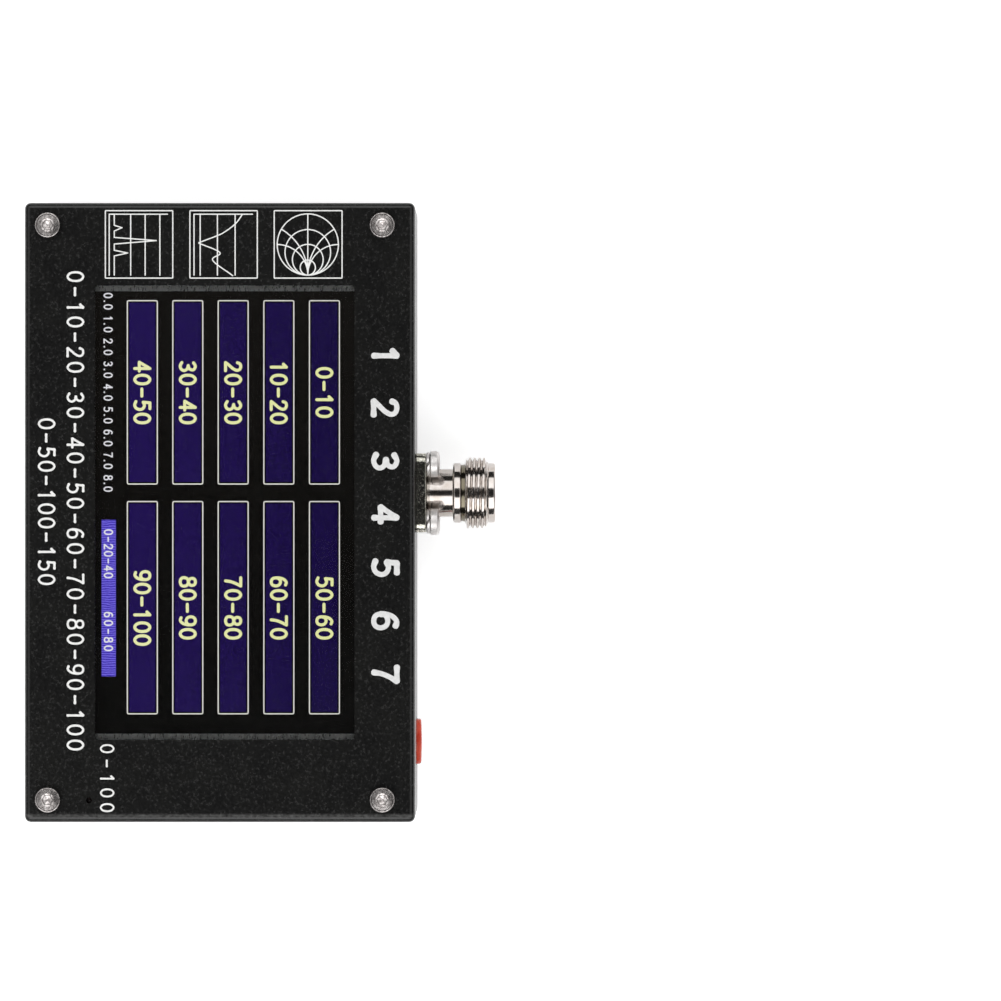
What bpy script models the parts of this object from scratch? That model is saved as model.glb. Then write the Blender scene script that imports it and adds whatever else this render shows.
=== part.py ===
"""Handheld antenna analyzer, lying on its back cover.

+X runs right along the display, +Y towards the antenna connector and +Z out of the display. The origin is
the centre of the back cover's outer face. Every length is in metres.
"""

import math

import bmesh
import bpy
from mathutils import Matrix, Vector

# Case: a folded sheet tray, open at the back, with a border round the display
DISPLAY_BORDER_X = 0.01510
DISPLAY_BORDER_Y = 0.00915
CASE_DEPTH = 0.0260
SHEET = 0.0010
FOLD_INNER_RADIUS = 0.0003

# Gaps: between touching pieces, between clamped ones, and a cutter's overrun
TOUCH_GAP = 0.0003
SEAT_GAP = 0.0001
CUT_OVERRUN = 0.0020
MERGE_DISTANCE = 0.000001

# Window in the front face, and the hole over the charge lamp
WINDOW_MARGIN_X = 0.00305
WINDOW_MARGIN_Y = 0.0052
WINDOW_SHIFT_Y = 0.0011
WINDOW_RADIUS = 0.0008
LAMP_HOLE_RADIUS = 0.00065
LAMP_INSET_SIDE = 0.00485
LAMP_INSET_LOW = 0.01415

# Back cover with eight bent tabs that grip the walls
COVER_RADIUS = 0.0008
TAB_WIDTH = 0.0080
TAB_HEIGHT = 0.0070
TAB_INNER_RADIUS = 0.0002
TAB_RELIEF = 0.0004
TAB_BUTTON_GAP = 0.0068
TAB_SHIFT_Y = 0.0270

# M3 screws: button heads in front, pan heads on the boards and the flange
THREAD_RADIUS = 0.0014
SCREW_HOLE_RADIUS = 0.0016
PILLAR_SIDE_GAP = 0.0013
PILLAR_LOW_GAP = 0.0015
PILLAR_HIGH_GAP = 0.0034
BUTTON_HEAD_RADIUS = 0.0028
BUTTON_HEAD_HEIGHT = 0.00165
HEX_SOCKET_FLATS = 0.0020
HEX_SOCKET_DEPTH = 0.0010
PAN_HEAD_RADIUS = 0.0029
PAN_HEAD_HEIGHT = 0.0019
CROSS_LENGTH = 0.0028
CROSS_WIDTH = 0.0006
CROSS_DEPTH = 0.0010
SCREW_END_GAP = 0.0002
HEX_FLATS = 0.0055

# Display stack behind the window
GASKET_THICKNESS = 0.0004
GASKET_BAND = 0.0026
GLASS_INSET_X = 0.00035
GLASS_INSET_Y = 0.0013
GLASS_THICKNESS = 0.0011
LCD_LENGTH = 0.1055
LCD_WIDTH = 0.0672
LCD_THICKNESS = 0.0029
LCD_FRAME_WALL = 0.0003
LCD_FRAME_LIP = 0.0042
RIBBON_WIDTH = 0.0200
RIBBON_THICKNESS = 0.0002
RIBBON_REACH = 0.0012
RIBBON_SLOT_WIDTH = 0.0022
RIBBON_SOCKET_WIDTH = 0.0230
RIBBON_SOCKET_DEPTH = 0.0045
RIBBON_SOCKET_HEIGHT = 0.0018
RIBBON_SOCKET_SHIFT = 0.0060

# Main board, behind the display, and what it carries on its rear side
BOARD_THICKNESS = 0.0016
BOARD_SIDE_GAP = 0.0010
BOARD_LOW_GAP = 0.00125
BOARD_HIGH_GAP = 0.00415
BOARD_RADIUS = 0.0015
PROCESSOR_SIZE = 0.0140
PROCESSOR_HEIGHT = 0.0012
PROCESSOR_X = -0.0120
PROCESSOR_GAP = 0.0070
BUZZER_RADIUS = 0.0060
BUZZER_HEIGHT = 0.0060
BUZZER_HOLE_RADIUS = 0.0010
BUZZER_HOLE_DEPTH = 0.0020
BUZZER_X = 0.0340
BUZZER_INSET = 0.0105
LAMP_RADIUS = 0.0015
LAMP_RIM_RADIUS = 0.0019
LAMP_RIM_HEIGHT = 0.0010

# USB socket at the board's right edge
USB_WIDTH = 0.0075
USB_HEIGHT = 0.00245
USB_DEPTH = 0.0056
USB_WALL = 0.0003
USB_RECESS = 0.0005
USB_Y = -0.0160
USB_TONGUE_WIDTH = 0.0042
USB_TONGUE_THICKNESS = 0.0006
USB_TONGUE_DEPTH = 0.0040
USB_PLUG_MARGIN = 0.0005

# Card socket and its card
CARD_SOCKET_DEPTH = 0.0150
CARD_SOCKET_WIDTH = 0.0145
CARD_SOCKET_HEIGHT = 0.0019
CARD_SOCKET_WALL = 0.0003
CARD_INSET_SIDE = 0.0225
CARD_INSET_LOW = 0.0185
CARD_LENGTH = 0.0150
CARD_WIDTH = 0.0110
CARD_THICKNESS = 0.0010
CARD_STICKS_OUT = 0.0020

# Measuring board, between the display and the battery
MEASURING_LEFT_REACH = 0.0317
MEASURING_RIGHT_REACH = 0.0059
MEASURING_WALL_GAP = 0.00375
MEASURING_WIDTH = 0.0500
HEADER_PINS = 10
HEADER_PITCH = 0.00254
HEADER_WIDTH = 0.0025
HEADER_BASE_HEIGHT = 0.00165
HEADER_PIN_SIDE = 0.00064
HEADER_PIN_CLEARANCE = 0.0002
HEADER_PIN_END_GAP = 0.0008
HEADER_LEFT_INSET = 0.0060
HEADER_RIGHT_INSET = 0.0250
HEADER_INSET_Y = 0.0260
SHIELD_LEFT_REACH = 0.0167
SHIELD_RIGHT_REACH = 0.0173
SHIELD_INSET_Y = 0.0070
SHIELD_WIDTH = 0.0270
SHIELD_TOP_GAP = 0.00285
SHIELD_WALL = 0.0003

# Antenna connector on the +Y wall, its sizes counted from the flange's rear face
CONNECTOR_X = -0.0043
FLANGE_EDGE = 0.0024
FLANGE_RADIUS = 0.0018
FLANGE_THICKNESS = 0.0022
FLANGE_HOLE_SPACING = 0.0127
SPIGOT_RADIUS = 0.0045
SPIGOT_LENGTH = 0.0018
SPIGOT_CLEARANCE = 0.0003
BARREL_RADIUS = 0.0053
COLLAR_RADIUS = 0.00665
COLLAR_START = 0.0081
COLLAR_LENGTH = 0.0019
UNDERCUT_RADIUS = 0.0062
UNDERCUT_LENGTH = 0.0005
THREAD_CRESTS = 5
THREAD_PITCH = 0.001058
THREAD_CREST_RADIUS = 0.0079375
THREAD_ROOT_RADIUS = 0.00725
THREAD_CREST_SHARE = 0.2
THREAD_RUNOUT = 0.00021
NOSE_RADIUS = 0.00665
NOSE_LENGTH = 0.0015
CHAMFER = 0.0003
MOUTH_RADIUS = 0.0043
MOUTH_DEPTH = 0.0094
INSULATOR_RADIUS = 0.0035
INSULATOR_CLEARANCE = 0.00015
INSULATOR_TAIL = 0.0042
CONTACT_RADIUS = 0.00152
CONTACT_CLEARANCE = 0.0002
CONTACT_TIP_DEPTH = 0.0050
CONTACT_BORE_RADIUS = 0.00085
CONTACT_BORE_DEPTH = 0.0035
CONTACT_SLOT_WIDTH = 0.0003
CONTACT_PIN_RADIUS = 0.00075
CONTACT_PIN_LENGTH = 0.0050
WASHER_RADIUS = 0.0032
WASHER_THICKNESS = 0.0008
FLANGE_NUT_HEIGHT = 0.0024
FLANGE_SCREW_LENGTH = 0.0080

# Latching power switch under the measuring board, with its red cap through the +Y wall
BUTTON_INSET = 0.01675
CAP_LENGTH = 0.0100
CAP_HEIGHT = 0.0050
CAP_DEPTH = 0.0055
CAP_STICKS_OUT = 0.0012
CAP_CROWN = 0.00012
CAP_ROUNDING = 0.0005
CAP_CLEARANCE = 0.0003
CAP_SOCKET_DEPTH = 0.0030
SWITCH_WIDTH = 0.0085
SWITCH_FLOOR_GAP = 0.00225
SWITCH_DEPTH = 0.0130
SWITCH_FRONT_GAP = 0.0019
SWITCH_EDGE = 0.0004
PLUNGER_SIDE = 0.0026
PLUNGER_REACH = 0.0065
PLUNGER_BORE_EXTRA = 0.0012

# Battery on the back cover, and its lead to the measuring board
PAD_INSET_X = 0.0050
PAD_INSET_Y = 0.0040
PAD_THICKNESS = 0.0008
BATTERY_WIDTH = 0.0480
BATTERY_SIDE_GAP = 0.0115
BATTERY_LOW_GAP = 0.00475
BATTERY_TOP_GAP = 0.00195
BATTERY_PLUG_GAP = 0.0174
BATTERY_ROUNDING = 0.0012
WIRE_RADIUS = 0.00065
WIRE_SPACING = 0.0020
WIRE_SWELL = 0.0030
WIRE_ROUTE_SHARES = (
    (0.0, 0.0, 0.0),
    (0.15, 0.0, 0.0),
    (0.45, 1.0, 0.33),
    (0.75, 0.33, 0.75),
    (0.90, 0.0, 1.0),
    (1.0, 0.0, 1.0),
)
PLUG_LENGTH = 0.0070
PLUG_WIDTH = 0.0048
PLUG_HEIGHT = 0.0028
PLUG_INSERTED = 0.0052
SOCKET_WALL = 0.0008
SOCKET_BACK_WALL = 0.0021
SOCKET_INSET = 0.0152
SOCKET_INSET_Y = 0.0110

# Facets: round holes and fasteners, larger turned pieces, the segments of an edge and of a fold
SMALL_STEPS = 20
LARGE_STEPS = 40
ARC_STEPS = 5
EDGE_SEGMENTS = 2
FOLD_SEGMENTS = 4

# Sizes and places that follow
CASE_LENGTH = LCD_LENGTH + 2 * DISPLAY_BORDER_X
CASE_WIDTH = LCD_WIDTH + 2 * DISPLAY_BORDER_Y
FOLD_RADIUS = SHEET + FOLD_INNER_RADIUS
TAB_BEND_RADIUS = SHEET + TAB_INNER_RADIUS
WINDOW_LENGTH = LCD_LENGTH - 2 * WINDOW_MARGIN_X
WINDOW_WIDTH = LCD_WIDTH - 2 * WINDOW_MARGIN_Y
GLASS_LENGTH = LCD_LENGTH - 2 * GLASS_INSET_X
GLASS_WIDTH = LCD_WIDTH - 2 * GLASS_INSET_Y
FLANGE_SIDE = FLANGE_HOLE_SPACING + 2 * FLANGE_EDGE
THREAD_START = COLLAR_START + COLLAR_LENGTH + UNDERCUT_LENGTH
NOSE_START = THREAD_START + THREAD_CRESTS * THREAD_PITCH + THREAD_RUNOUT
CONNECTOR_LENGTH = NOSE_START + NOSE_LENGTH
SOCKET_LENGTH = PLUG_INSERTED + TOUCH_GAP + SOCKET_BACK_WALL
HALF_LENGTH = CASE_LENGTH / 2
HALF_WIDTH = CASE_WIDTH / 2
WALL_INSIDE_X = HALF_LENGTH - SHEET
WALL_INSIDE_Y = HALF_WIDTH - SHEET
PANEL_INSIDE = CASE_DEPTH - SHEET
GASKET_TOP = PANEL_INSIDE - SEAT_GAP
GLASS_TOP = GASKET_TOP - GASKET_THICKNESS - SEAT_GAP
LCD_TOP = GLASS_TOP - GLASS_THICKNESS - SEAT_GAP
LCD_BOTTOM = LCD_TOP - LCD_THICKNESS
BOARD_TOP = LCD_BOTTOM - TOUCH_GAP
BOARD_BOTTOM = BOARD_TOP - BOARD_THICKNESS
BOARD_SEAT = BOARD_BOTTOM - SEAT_GAP
BOARD_HALF_LENGTH = WALL_INSIDE_X - BOARD_SIDE_GAP
CONNECTOR_Z = CASE_DEPTH / 2
FLANGE_SEAT_Y = HALF_WIDTH + SEAT_GAP
MEASURING_TOP = CONNECTOR_Z - CONTACT_PIN_RADIUS - TOUCH_GAP
MEASURING_BOTTOM = MEASURING_TOP - BOARD_THICKNESS
MEASURING_SEAT = MEASURING_BOTTOM - SEAT_GAP
PILLAR_LOW = BOARD_TOP + SEAT_GAP
PILLAR_HIGH = PANEL_INSIDE - SEAT_GAP
PILLAR_MIDDLE = (PILLAR_LOW + PILLAR_HIGH) / 2
SCREW_X = WALL_INSIDE_X - PILLAR_SIDE_GAP - HEX_FLATS / 2
SCREW_LOW_Y = PILLAR_LOW_GAP + HEX_FLATS / 2 - WALL_INSIDE_Y
SCREW_HIGH_Y = WALL_INSIDE_Y - PILLAR_HIGH_GAP - HEX_FLATS / 2
CORNERS = (
    (-SCREW_X, SCREW_LOW_Y),
    (SCREW_X, SCREW_LOW_Y),
    (SCREW_X, SCREW_HIGH_Y),
    (-SCREW_X, SCREW_HIGH_Y),
)
LAMP_X = HALF_LENGTH - LAMP_INSET_SIDE
LAMP_Y = LAMP_INSET_LOW - HALF_WIDTH
LCD_LOW_Y = WINDOW_SHIFT_Y - LCD_WIDTH / 2
BOARD_LOW_Y = BOARD_LOW_GAP - WALL_INSIDE_Y
BOARD_HIGH_Y = WALL_INSIDE_Y - BOARD_HIGH_GAP
RIBBON_SOCKET_LOW_Y = LCD_LOW_Y + RIBBON_SOCKET_SHIFT
PROCESSOR_LOW_Y = RIBBON_SOCKET_LOW_Y + RIBBON_SOCKET_DEPTH + PROCESSOR_GAP
BUZZER_Y = BOARD_LOW_Y + BUZZER_INSET
CARD_X = CARD_INSET_SIDE - WALL_INSIDE_X
CARD_Y = BOARD_LOW_Y + CARD_INSET_LOW
BUTTON_X = HALF_LENGTH - BUTTON_INSET
TAB_SHIFT_X = BUTTON_X - CAP_LENGTH / 2 - CAP_CLEARANCE - TAB_BUTTON_GAP - TAB_WIDTH / 2
MEASURING_LOW_X = CONNECTOR_X - MEASURING_LEFT_REACH
MEASURING_HIGH_X = BUTTON_X + MEASURING_RIGHT_REACH
MEASURING_HIGH_Y = WALL_INSIDE_Y - MEASURING_WALL_GAP
MEASURING_LOW_Y = MEASURING_HIGH_Y - MEASURING_WIDTH
HEADER_LEFT_X = MEASURING_LOW_X + HEADER_LEFT_INSET
HEADER_RIGHT_X = MEASURING_HIGH_X - HEADER_RIGHT_INSET
HEADER_Y = MEASURING_HIGH_Y - HEADER_INSET_Y
HALF_SPACING = FLANGE_HOLE_SPACING / 2
FLANGE_CORNERS = (
    (CONNECTOR_X - HALF_SPACING, CONNECTOR_Z - HALF_SPACING),
    (CONNECTOR_X + HALF_SPACING, CONNECTOR_Z - HALF_SPACING),
    (CONNECTOR_X + HALF_SPACING, CONNECTOR_Z + HALF_SPACING),
    (CONNECTOR_X - HALF_SPACING, CONNECTOR_Z + HALF_SPACING),
)
SWITCH_TOP = MEASURING_SEAT
SWITCH_LOW = SHEET + SWITCH_FLOOR_GAP
SWITCH_Z = (SWITCH_TOP + SWITCH_LOW) / 2
CAP_FACE_Y = HALF_WIDTH + CAP_STICKS_OUT
CAP_REAR_Y = CAP_FACE_Y - CAP_DEPTH
SWITCH_FRONT_Y = CAP_REAR_Y - SWITCH_FRONT_GAP
SOCKET_MOUTH_X = MEASURING_HIGH_X - SOCKET_INSET - SOCKET_LENGTH
PLUG_REAR_X = SOCKET_MOUTH_X + PLUG_INSERTED - PLUG_LENGTH
BATTERY_LOW = SHEET + TOUCH_GAP + PAD_THICKNESS + TOUCH_GAP
BATTERY_HIGH = MEASURING_BOTTOM - BATTERY_TOP_GAP
BATTERY_LOW_X = BATTERY_SIDE_GAP - WALL_INSIDE_X
BATTERY_HIGH_X = PLUG_REAR_X - BATTERY_PLUG_GAP
BATTERY_LOW_Y = BATTERY_LOW_GAP - WALL_INSIDE_Y
BATTERY_HIGH_Y = BATTERY_LOW_Y + BATTERY_WIDTH
SOCKET_Y = BATTERY_HIGH_Y - SOCKET_INSET_Y

# Looking along an axis: a turned piece stands on +Z until one of these turns it
ALONG_Z = (0.0, 0.0, 0.0)
ALONG_MINUS_Z = (math.pi, 0.0, 0.0)
ALONG_Y = (-math.pi / 2, 0.0, 0.0)

# Finish: colour, roughness, metallic
FINISHES = {
    "black_powder_coat": ((0.013, 0.013, 0.013), 0.55, 0.0),
    "stainless_steel": ((0.60, 0.59, 0.57), 0.25, 1.0),
    "nickel_plate": ((0.72, 0.70, 0.66), 0.18, 1.0),
    "gold_plate": ((0.90, 0.66, 0.27), 0.25, 1.0),
    "zinc_plate": ((0.62, 0.63, 0.64), 0.35, 1.0),
    "tinned_steel": ((0.66, 0.67, 0.68), 0.30, 1.0),
    "black_foam": ((0.02, 0.02, 0.02), 0.95, 0.0),
    "dark_glass": ((0.02, 0.02, 0.022), 0.08, 0.0),
    "lcd_black": ((0.01, 0.01, 0.02), 0.20, 0.0),
    "board_green": ((0.01, 0.10, 0.04), 0.45, 0.0),
    "black_plastic": ((0.02, 0.02, 0.02), 0.50, 0.0),
    "white_plastic": ((0.75, 0.74, 0.70), 0.40, 0.0),
    "red_plastic": ((0.55, 0.02, 0.01), 0.20, 0.0),
    "amber_film": ((0.55, 0.24, 0.03), 0.35, 0.0),
    "red_lamp": ((0.60, 0.05, 0.03), 0.15, 0.0),
    "ptfe_white": ((0.85, 0.85, 0.82), 0.45, 0.0),
    "silver_foil": ((0.60, 0.60, 0.61), 0.38, 1.0),
    "red_insulation": ((0.50, 0.02, 0.02), 0.40, 0.0),
    "black_insulation": ((0.02, 0.02, 0.02), 0.40, 0.0),
}


def emptied_scene():
    """Removes what is in the scene, and returns the collections of the parts and of the cutters."""
    for thing in list(bpy.data.objects):
        bpy.data.objects.remove(thing, do_unlink=True)
    made = []
    for name in ("antenna_analyzer", "cutters"):
        home = bpy.data.collections.new(name)
        bpy.context.scene.collection.children.link(home)
        made.append(home)
    return made


PARTS, CUTTERS = emptied_scene()


def placed(name, mesh, home, location=(0.0, 0.0, 0.0), turn=ALONG_Z):
    piece = bpy.data.objects.new(name, mesh)
    piece.location = location
    piece.rotation_euler = turn
    home.objects.link(piece)
    if home is CUTTERS:
        piece.hide_render = True
        piece.display_type = "WIRE"
    return piece


def dressed(piece, finish):
    """Gives a piece its own material."""
    colour, roughness, metallic = FINISHES[finish]
    material = bpy.data.materials.new(piece.name + "_" + finish)
    material.use_nodes = True
    shader = material.node_tree.nodes["Principled BSDF"]
    shader.inputs["Base Color"].default_value = (*colour, 1.0)
    shader.inputs["Roughness"].default_value = roughness
    shader.inputs["Metallic"].default_value = metallic
    piece.data.materials.clear()
    piece.data.materials.append(material)
    return piece


def block(name, low, high, home):
    """A cube primitive between two corners, with its scale applied."""
    low, high = Vector(low), Vector(high)
    form = bmesh.new()
    bmesh.ops.create_cube(form, size=1.0)
    bmesh.ops.scale(form, vec=high - low, verts=form.verts)
    mesh = bpy.data.meshes.new(name)
    form.to_mesh(mesh)
    form.free()
    return placed(name, mesh, home, (low + high) / 2)


def beveled(piece, radius, segments, axis=None):
    """Rounds the edges of a block, or only those that run along one axis."""
    form = bmesh.new()
    form.from_mesh(piece.data)
    picked = []
    for edge in form.edges:
        along = (edge.verts[1].co - edge.verts[0].co).normalized()
        if axis is None or abs(along[axis]) > 0.99:
            picked.append(edge)
    bmesh.ops.bevel(form, geom=picked, offset=radius, segments=segments, profile=0.5, affect="EDGES")
    form.to_mesh(piece.data)
    form.free()
    return piece


def opened_box(name, low, high, wall, open_side, home, radius=None, segments=EDGE_SEGMENTS):
    """A box shell: a cube without one face, its other edges rounded, with Solidify as its wall."""
    piece = block(name, low, high, home)
    form = bmesh.new()
    form.from_mesh(piece.data)
    way = Vector(open_side)
    lost = [face for face in form.faces if face.normal.dot(way) > 0.99]
    bmesh.ops.delete(form, geom=lost, context="FACES_ONLY")
    if radius:
        folds = [edge for edge in form.edges if not edge.is_boundary]
        bmesh.ops.bevel(form, geom=folds, offset=radius, segments=segments, profile=0.5, affect="EDGES")
    form.to_mesh(piece.data)
    form.free()
    shell = piece.modifiers.new("wall", "SOLIDIFY")
    shell.thickness = wall
    shell.offset = -1.0
    shell.use_even_offset = True
    return piece


def turned(name, profile, steps, home, location, turn=ALONG_Z, ring=False):
    """Turns a profile of (radius, height) points, given down its outer side. A ring's closes on itself."""
    form = bmesh.new()
    points = [form.verts.new((radius, 0.0, height)) for radius, height in profile]
    for first, second in zip(points, points[1:]):
        form.edges.new((first, second))
    if ring:
        form.edges.new((points[-1], points[0]))
    mesh = bpy.data.meshes.new(name)
    form.to_mesh(mesh)
    form.free()
    piece = placed(name, mesh, home, location, turn)
    spin = piece.modifiers.new("turn", "SCREW")
    spin.angle = 2.0 * math.pi
    spin.steps = steps
    spin.render_steps = steps
    spin.use_merge_vertices = True
    spin.merge_threshold = MERGE_DISTANCE
    spin.use_smooth_shade = True
    return piece


def rod(name, radius, low, high, steps, home, location, turn=ALONG_Z):
    """A turned cylinder between two heights."""
    profile = [(0.0, high), (radius, high), (radius, low), (0.0, low)]
    return turned(name, profile, steps, home, location, turn)


def tube(name, outer, inner, low, high, steps, home, location, turn=ALONG_Z):
    """A turned ring between two heights."""
    profile = [(outer, high), (outer, low), (inner, low), (inner, high)]
    return turned(name, profile, steps, home, location, turn, ring=True)


def extruded(name, loops, thickness, home, location=(0.0, 0.0, 0.0), turn=ALONG_Z):
    """A flat outline as a filled 2D curve with half its thickness each way, as a mesh with welded caps."""
    flat = bpy.data.curves.new(name, "CURVE")
    flat.dimensions = "2D"
    flat.fill_mode = "BOTH"
    flat.extrude = thickness / 2
    for loop in loops:
        line = flat.splines.new("POLY")
        line.points.add(len(loop) - 1)
        for point, (x, y) in zip(line.points, loop):
            point.co = (x, y, 0.0, 1.0)
        line.use_cyclic_u = True
    guide = placed(name + "_outline", flat, CUTTERS, location, turn)
    bpy.context.view_layer.update()
    graph = bpy.context.evaluated_depsgraph_get()
    mesh = bpy.data.meshes.new_from_object(guide.evaluated_get(graph))
    form = bmesh.new()
    form.from_mesh(mesh)
    bmesh.ops.remove_doubles(form, verts=form.verts, dist=MERGE_DISTANCE)
    bmesh.ops.recalc_face_normals(form, faces=form.faces)
    form.to_mesh(mesh)
    form.free()
    piece = placed(name, mesh, home)
    piece.matrix_world = guide.matrix_world
    bpy.data.objects.remove(guide)
    return piece


def arc(centre, radius, start, end, steps):
    """Points round an arc, its angles in quarter turns."""
    points = []
    for step in range(steps + 1):
        angle = (start + (end - start) * step / steps) * math.pi / 2
        points.append((centre[0] + radius * math.cos(angle), centre[1] + radius * math.sin(angle)))
    return points


def rounded_rectangle(length, width, radius):
    """The outline of a rectangle about the origin, with round corners."""
    x = length / 2 - radius
    y = width / 2 - radius
    corners = ((x, y), (-x, y), (-x, -y), (x, -y))
    outline = []
    for quarter, corner in enumerate(corners):
        outline += arc(corner, radius, quarter, quarter + 1, ARC_STEPS)
    return outline


def hexagon(flats):
    """A hexagon's corners from its width across flats."""
    reach = flats / math.sqrt(3.0)
    turns = [side * math.pi / 3 for side in range(6)]
    return [(reach * math.cos(turn), reach * math.sin(turn)) for turn in turns]


def settled(piece):
    """Makes a piece's modifiers final, so that copies can share the result."""
    bpy.context.view_layer.update()
    graph = bpy.context.evaluated_depsgraph_get()
    mesh = bpy.data.meshes.new_from_object(piece.evaluated_get(graph))
    piece.modifiers.clear()
    piece.data = mesh
    return piece


def combined(name, pieces, home):
    """Several separate bodies as one object, for one Boolean."""
    form = bmesh.new()
    for piece in pieces:
        settled(piece)
        part = piece.data.copy()
        part.transform(piece.matrix_world)
        form.from_mesh(part)
        bpy.data.objects.remove(piece)
    mesh = bpy.data.meshes.new(name)
    form.to_mesh(mesh)
    form.free()
    return placed(name, mesh, home)


def cut(piece, cutter):
    change = piece.modifiers.new("cut_" + cutter.name, "BOOLEAN")
    change.operation = "DIFFERENCE"
    change.object = cutter
    return piece


def joined(piece, other):
    change = piece.modifiers.new("join_" + other.name, "BOOLEAN")
    change.operation = "UNION"
    change.object = other
    return piece


def copies(master, names, locations, finish):
    """One object for each place, each with its own copy of the master's settled mesh."""
    settled(master)
    made = []
    for name, location in zip(names, locations):
        piece = placed(name, master.data.copy(), PARTS, location, master.rotation_euler)
        made.append(dressed(piece, finish))
    bpy.data.objects.remove(master)
    return made


def case_body():
    """The tray: front face and four walls, with the window and every hole cut through."""
    low = (-HALF_LENGTH, -HALF_WIDTH, 0.0)
    high = (HALF_LENGTH, HALF_WIDTH, CASE_DEPTH)
    body = opened_box("case_body", low, high, SHEET, (0, 0, -1), PARTS, FOLD_RADIUS, FOLD_SEGMENTS)
    deep = SHEET + 2 * CUT_OVERRUN
    face_middle = CASE_DEPTH - SHEET / 2
    wall_middle = HALF_WIDTH - SHEET / 2
    window = rounded_rectangle(WINDOW_LENGTH, WINDOW_WIDTH, WINDOW_RADIUS)
    cut(body, extruded("window_cutter", [window], deep, CUTTERS, (0.0, WINDOW_SHIFT_Y, face_middle)))
    holes = []
    for number, (x, y) in enumerate(CORNERS, 1):
        place = (x, y, face_middle)
        name = f"front_hole_{number}"
        holes.append(rod(name, SCREW_HOLE_RADIUS, -deep, deep, SMALL_STEPS, CUTTERS, place))
    lamp_place = (LAMP_X, LAMP_Y, face_middle)
    holes.append(rod("lamp_hole", LAMP_HOLE_RADIUS, -deep, deep, SMALL_STEPS, CUTTERS, lamp_place))
    cut(body, combined("face_hole_cutters", holes, CUTTERS))
    holes = []
    for number, (x, z) in enumerate(FLANGE_CORNERS, 1):
        place = (x, wall_middle, z)
        holes.append(
            rod(f"wall_hole_{number}", SCREW_HOLE_RADIUS, -deep, deep, SMALL_STEPS, CUTTERS, place, ALONG_Y)
        )
    bore = SPIGOT_RADIUS + SPIGOT_CLEARANCE
    place = (CONNECTOR_X, wall_middle, CONNECTOR_Z)
    holes.append(rod("spigot_hole", bore, -deep, deep, LARGE_STEPS, CUTTERS, place, ALONG_Y))
    half_x = CAP_LENGTH / 2 + CAP_CLEARANCE
    half_z = CAP_HEIGHT / 2 + CAP_CLEARANCE
    slot = block(
        "button_slot",
        (BUTTON_X - half_x, wall_middle - deep, SWITCH_Z - half_z),
        (BUTTON_X + half_x, wall_middle + deep, SWITCH_Z + half_z),
        CUTTERS,
    )
    holes.append(beveled(slot, CAP_ROUNDING, EDGE_SEGMENTS, 1))
    cut(body, combined("wall_hole_cutters", holes, CUTTERS))
    half_y = USB_WIDTH / 2 + USB_PLUG_MARGIN
    side_middle = HALF_LENGTH - SHEET / 2
    port = block(
        "usb_slot",
        (side_middle - deep, USB_Y - half_y, BOARD_SEAT - USB_HEIGHT - USB_PLUG_MARGIN),
        (side_middle + deep, USB_Y + half_y, BOARD_SEAT + USB_PLUG_MARGIN),
        CUTTERS,
    )
    cut(body, beveled(port, USB_PLUG_MARGIN, EDGE_SEGMENTS, 0))
    dressed(body, "black_powder_coat")


def cover_sides():
    """For each side of the cover: its outward way, the way along it, its distance and its tabs' shift."""
    edge_x = WALL_INSIDE_X - TOUCH_GAP
    edge_y = WALL_INSIDE_Y - TOUCH_GAP
    return (
        (Vector((0, 1, 0)), Vector((-1, 0, 0)), edge_y, TAB_SHIFT_X),
        (Vector((-1, 0, 0)), Vector((0, -1, 0)), edge_x, TAB_SHIFT_Y),
        (Vector((0, -1, 0)), Vector((1, 0, 0)), edge_y, TAB_SHIFT_X),
        (Vector((1, 0, 0)), Vector((0, 1, 0)), edge_x, TAB_SHIFT_Y),
    )


def cover_outline():
    """The flat cover with two notches in each side, each deep enough for its tab's bend."""
    half_tab = TAB_WIDTH / 2
    half_notch = half_tab + TAB_RELIEF
    sides = cover_sides()
    outline = []
    for quarter, (outward, along, distance, shift) in enumerate(sides):
        before = sides[quarter - 1]
        corner = (outward * (distance - COVER_RADIUS)) + before[0] * (before[2] - COVER_RADIUS)
        outline += arc((corner.x, corner.y), COVER_RADIUS, quarter, quarter + 1, ARC_STEPS)
        for middle in (-shift, shift):
            for reach, inward in (
                (-half_notch, 0.0),
                (-half_notch, TAB_BEND_RADIUS),
                (-half_tab, TAB_BEND_RADIUS),
                (half_tab, TAB_BEND_RADIUS),
                (half_notch, TAB_BEND_RADIUS),
                (half_notch, 0.0),
            ):
                point = outward * (distance - inward) + along * (middle + reach)
                outline.append((point.x, point.y))
    return outline


def extruded_faces(form, faces):
    """Extrudes faces in place, drops the old ones and returns the new faces and vertices."""
    grown = bmesh.ops.extrude_face_region(form, geom=faces)["geom"]
    bmesh.ops.delete(form, geom=faces, context="FACES_ONLY")
    new_faces = [item for item in grown if isinstance(item, bmesh.types.BMFace)]
    new_verts = [item for item in grown if isinstance(item, bmesh.types.BMVert)]
    return new_faces, new_verts


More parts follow.
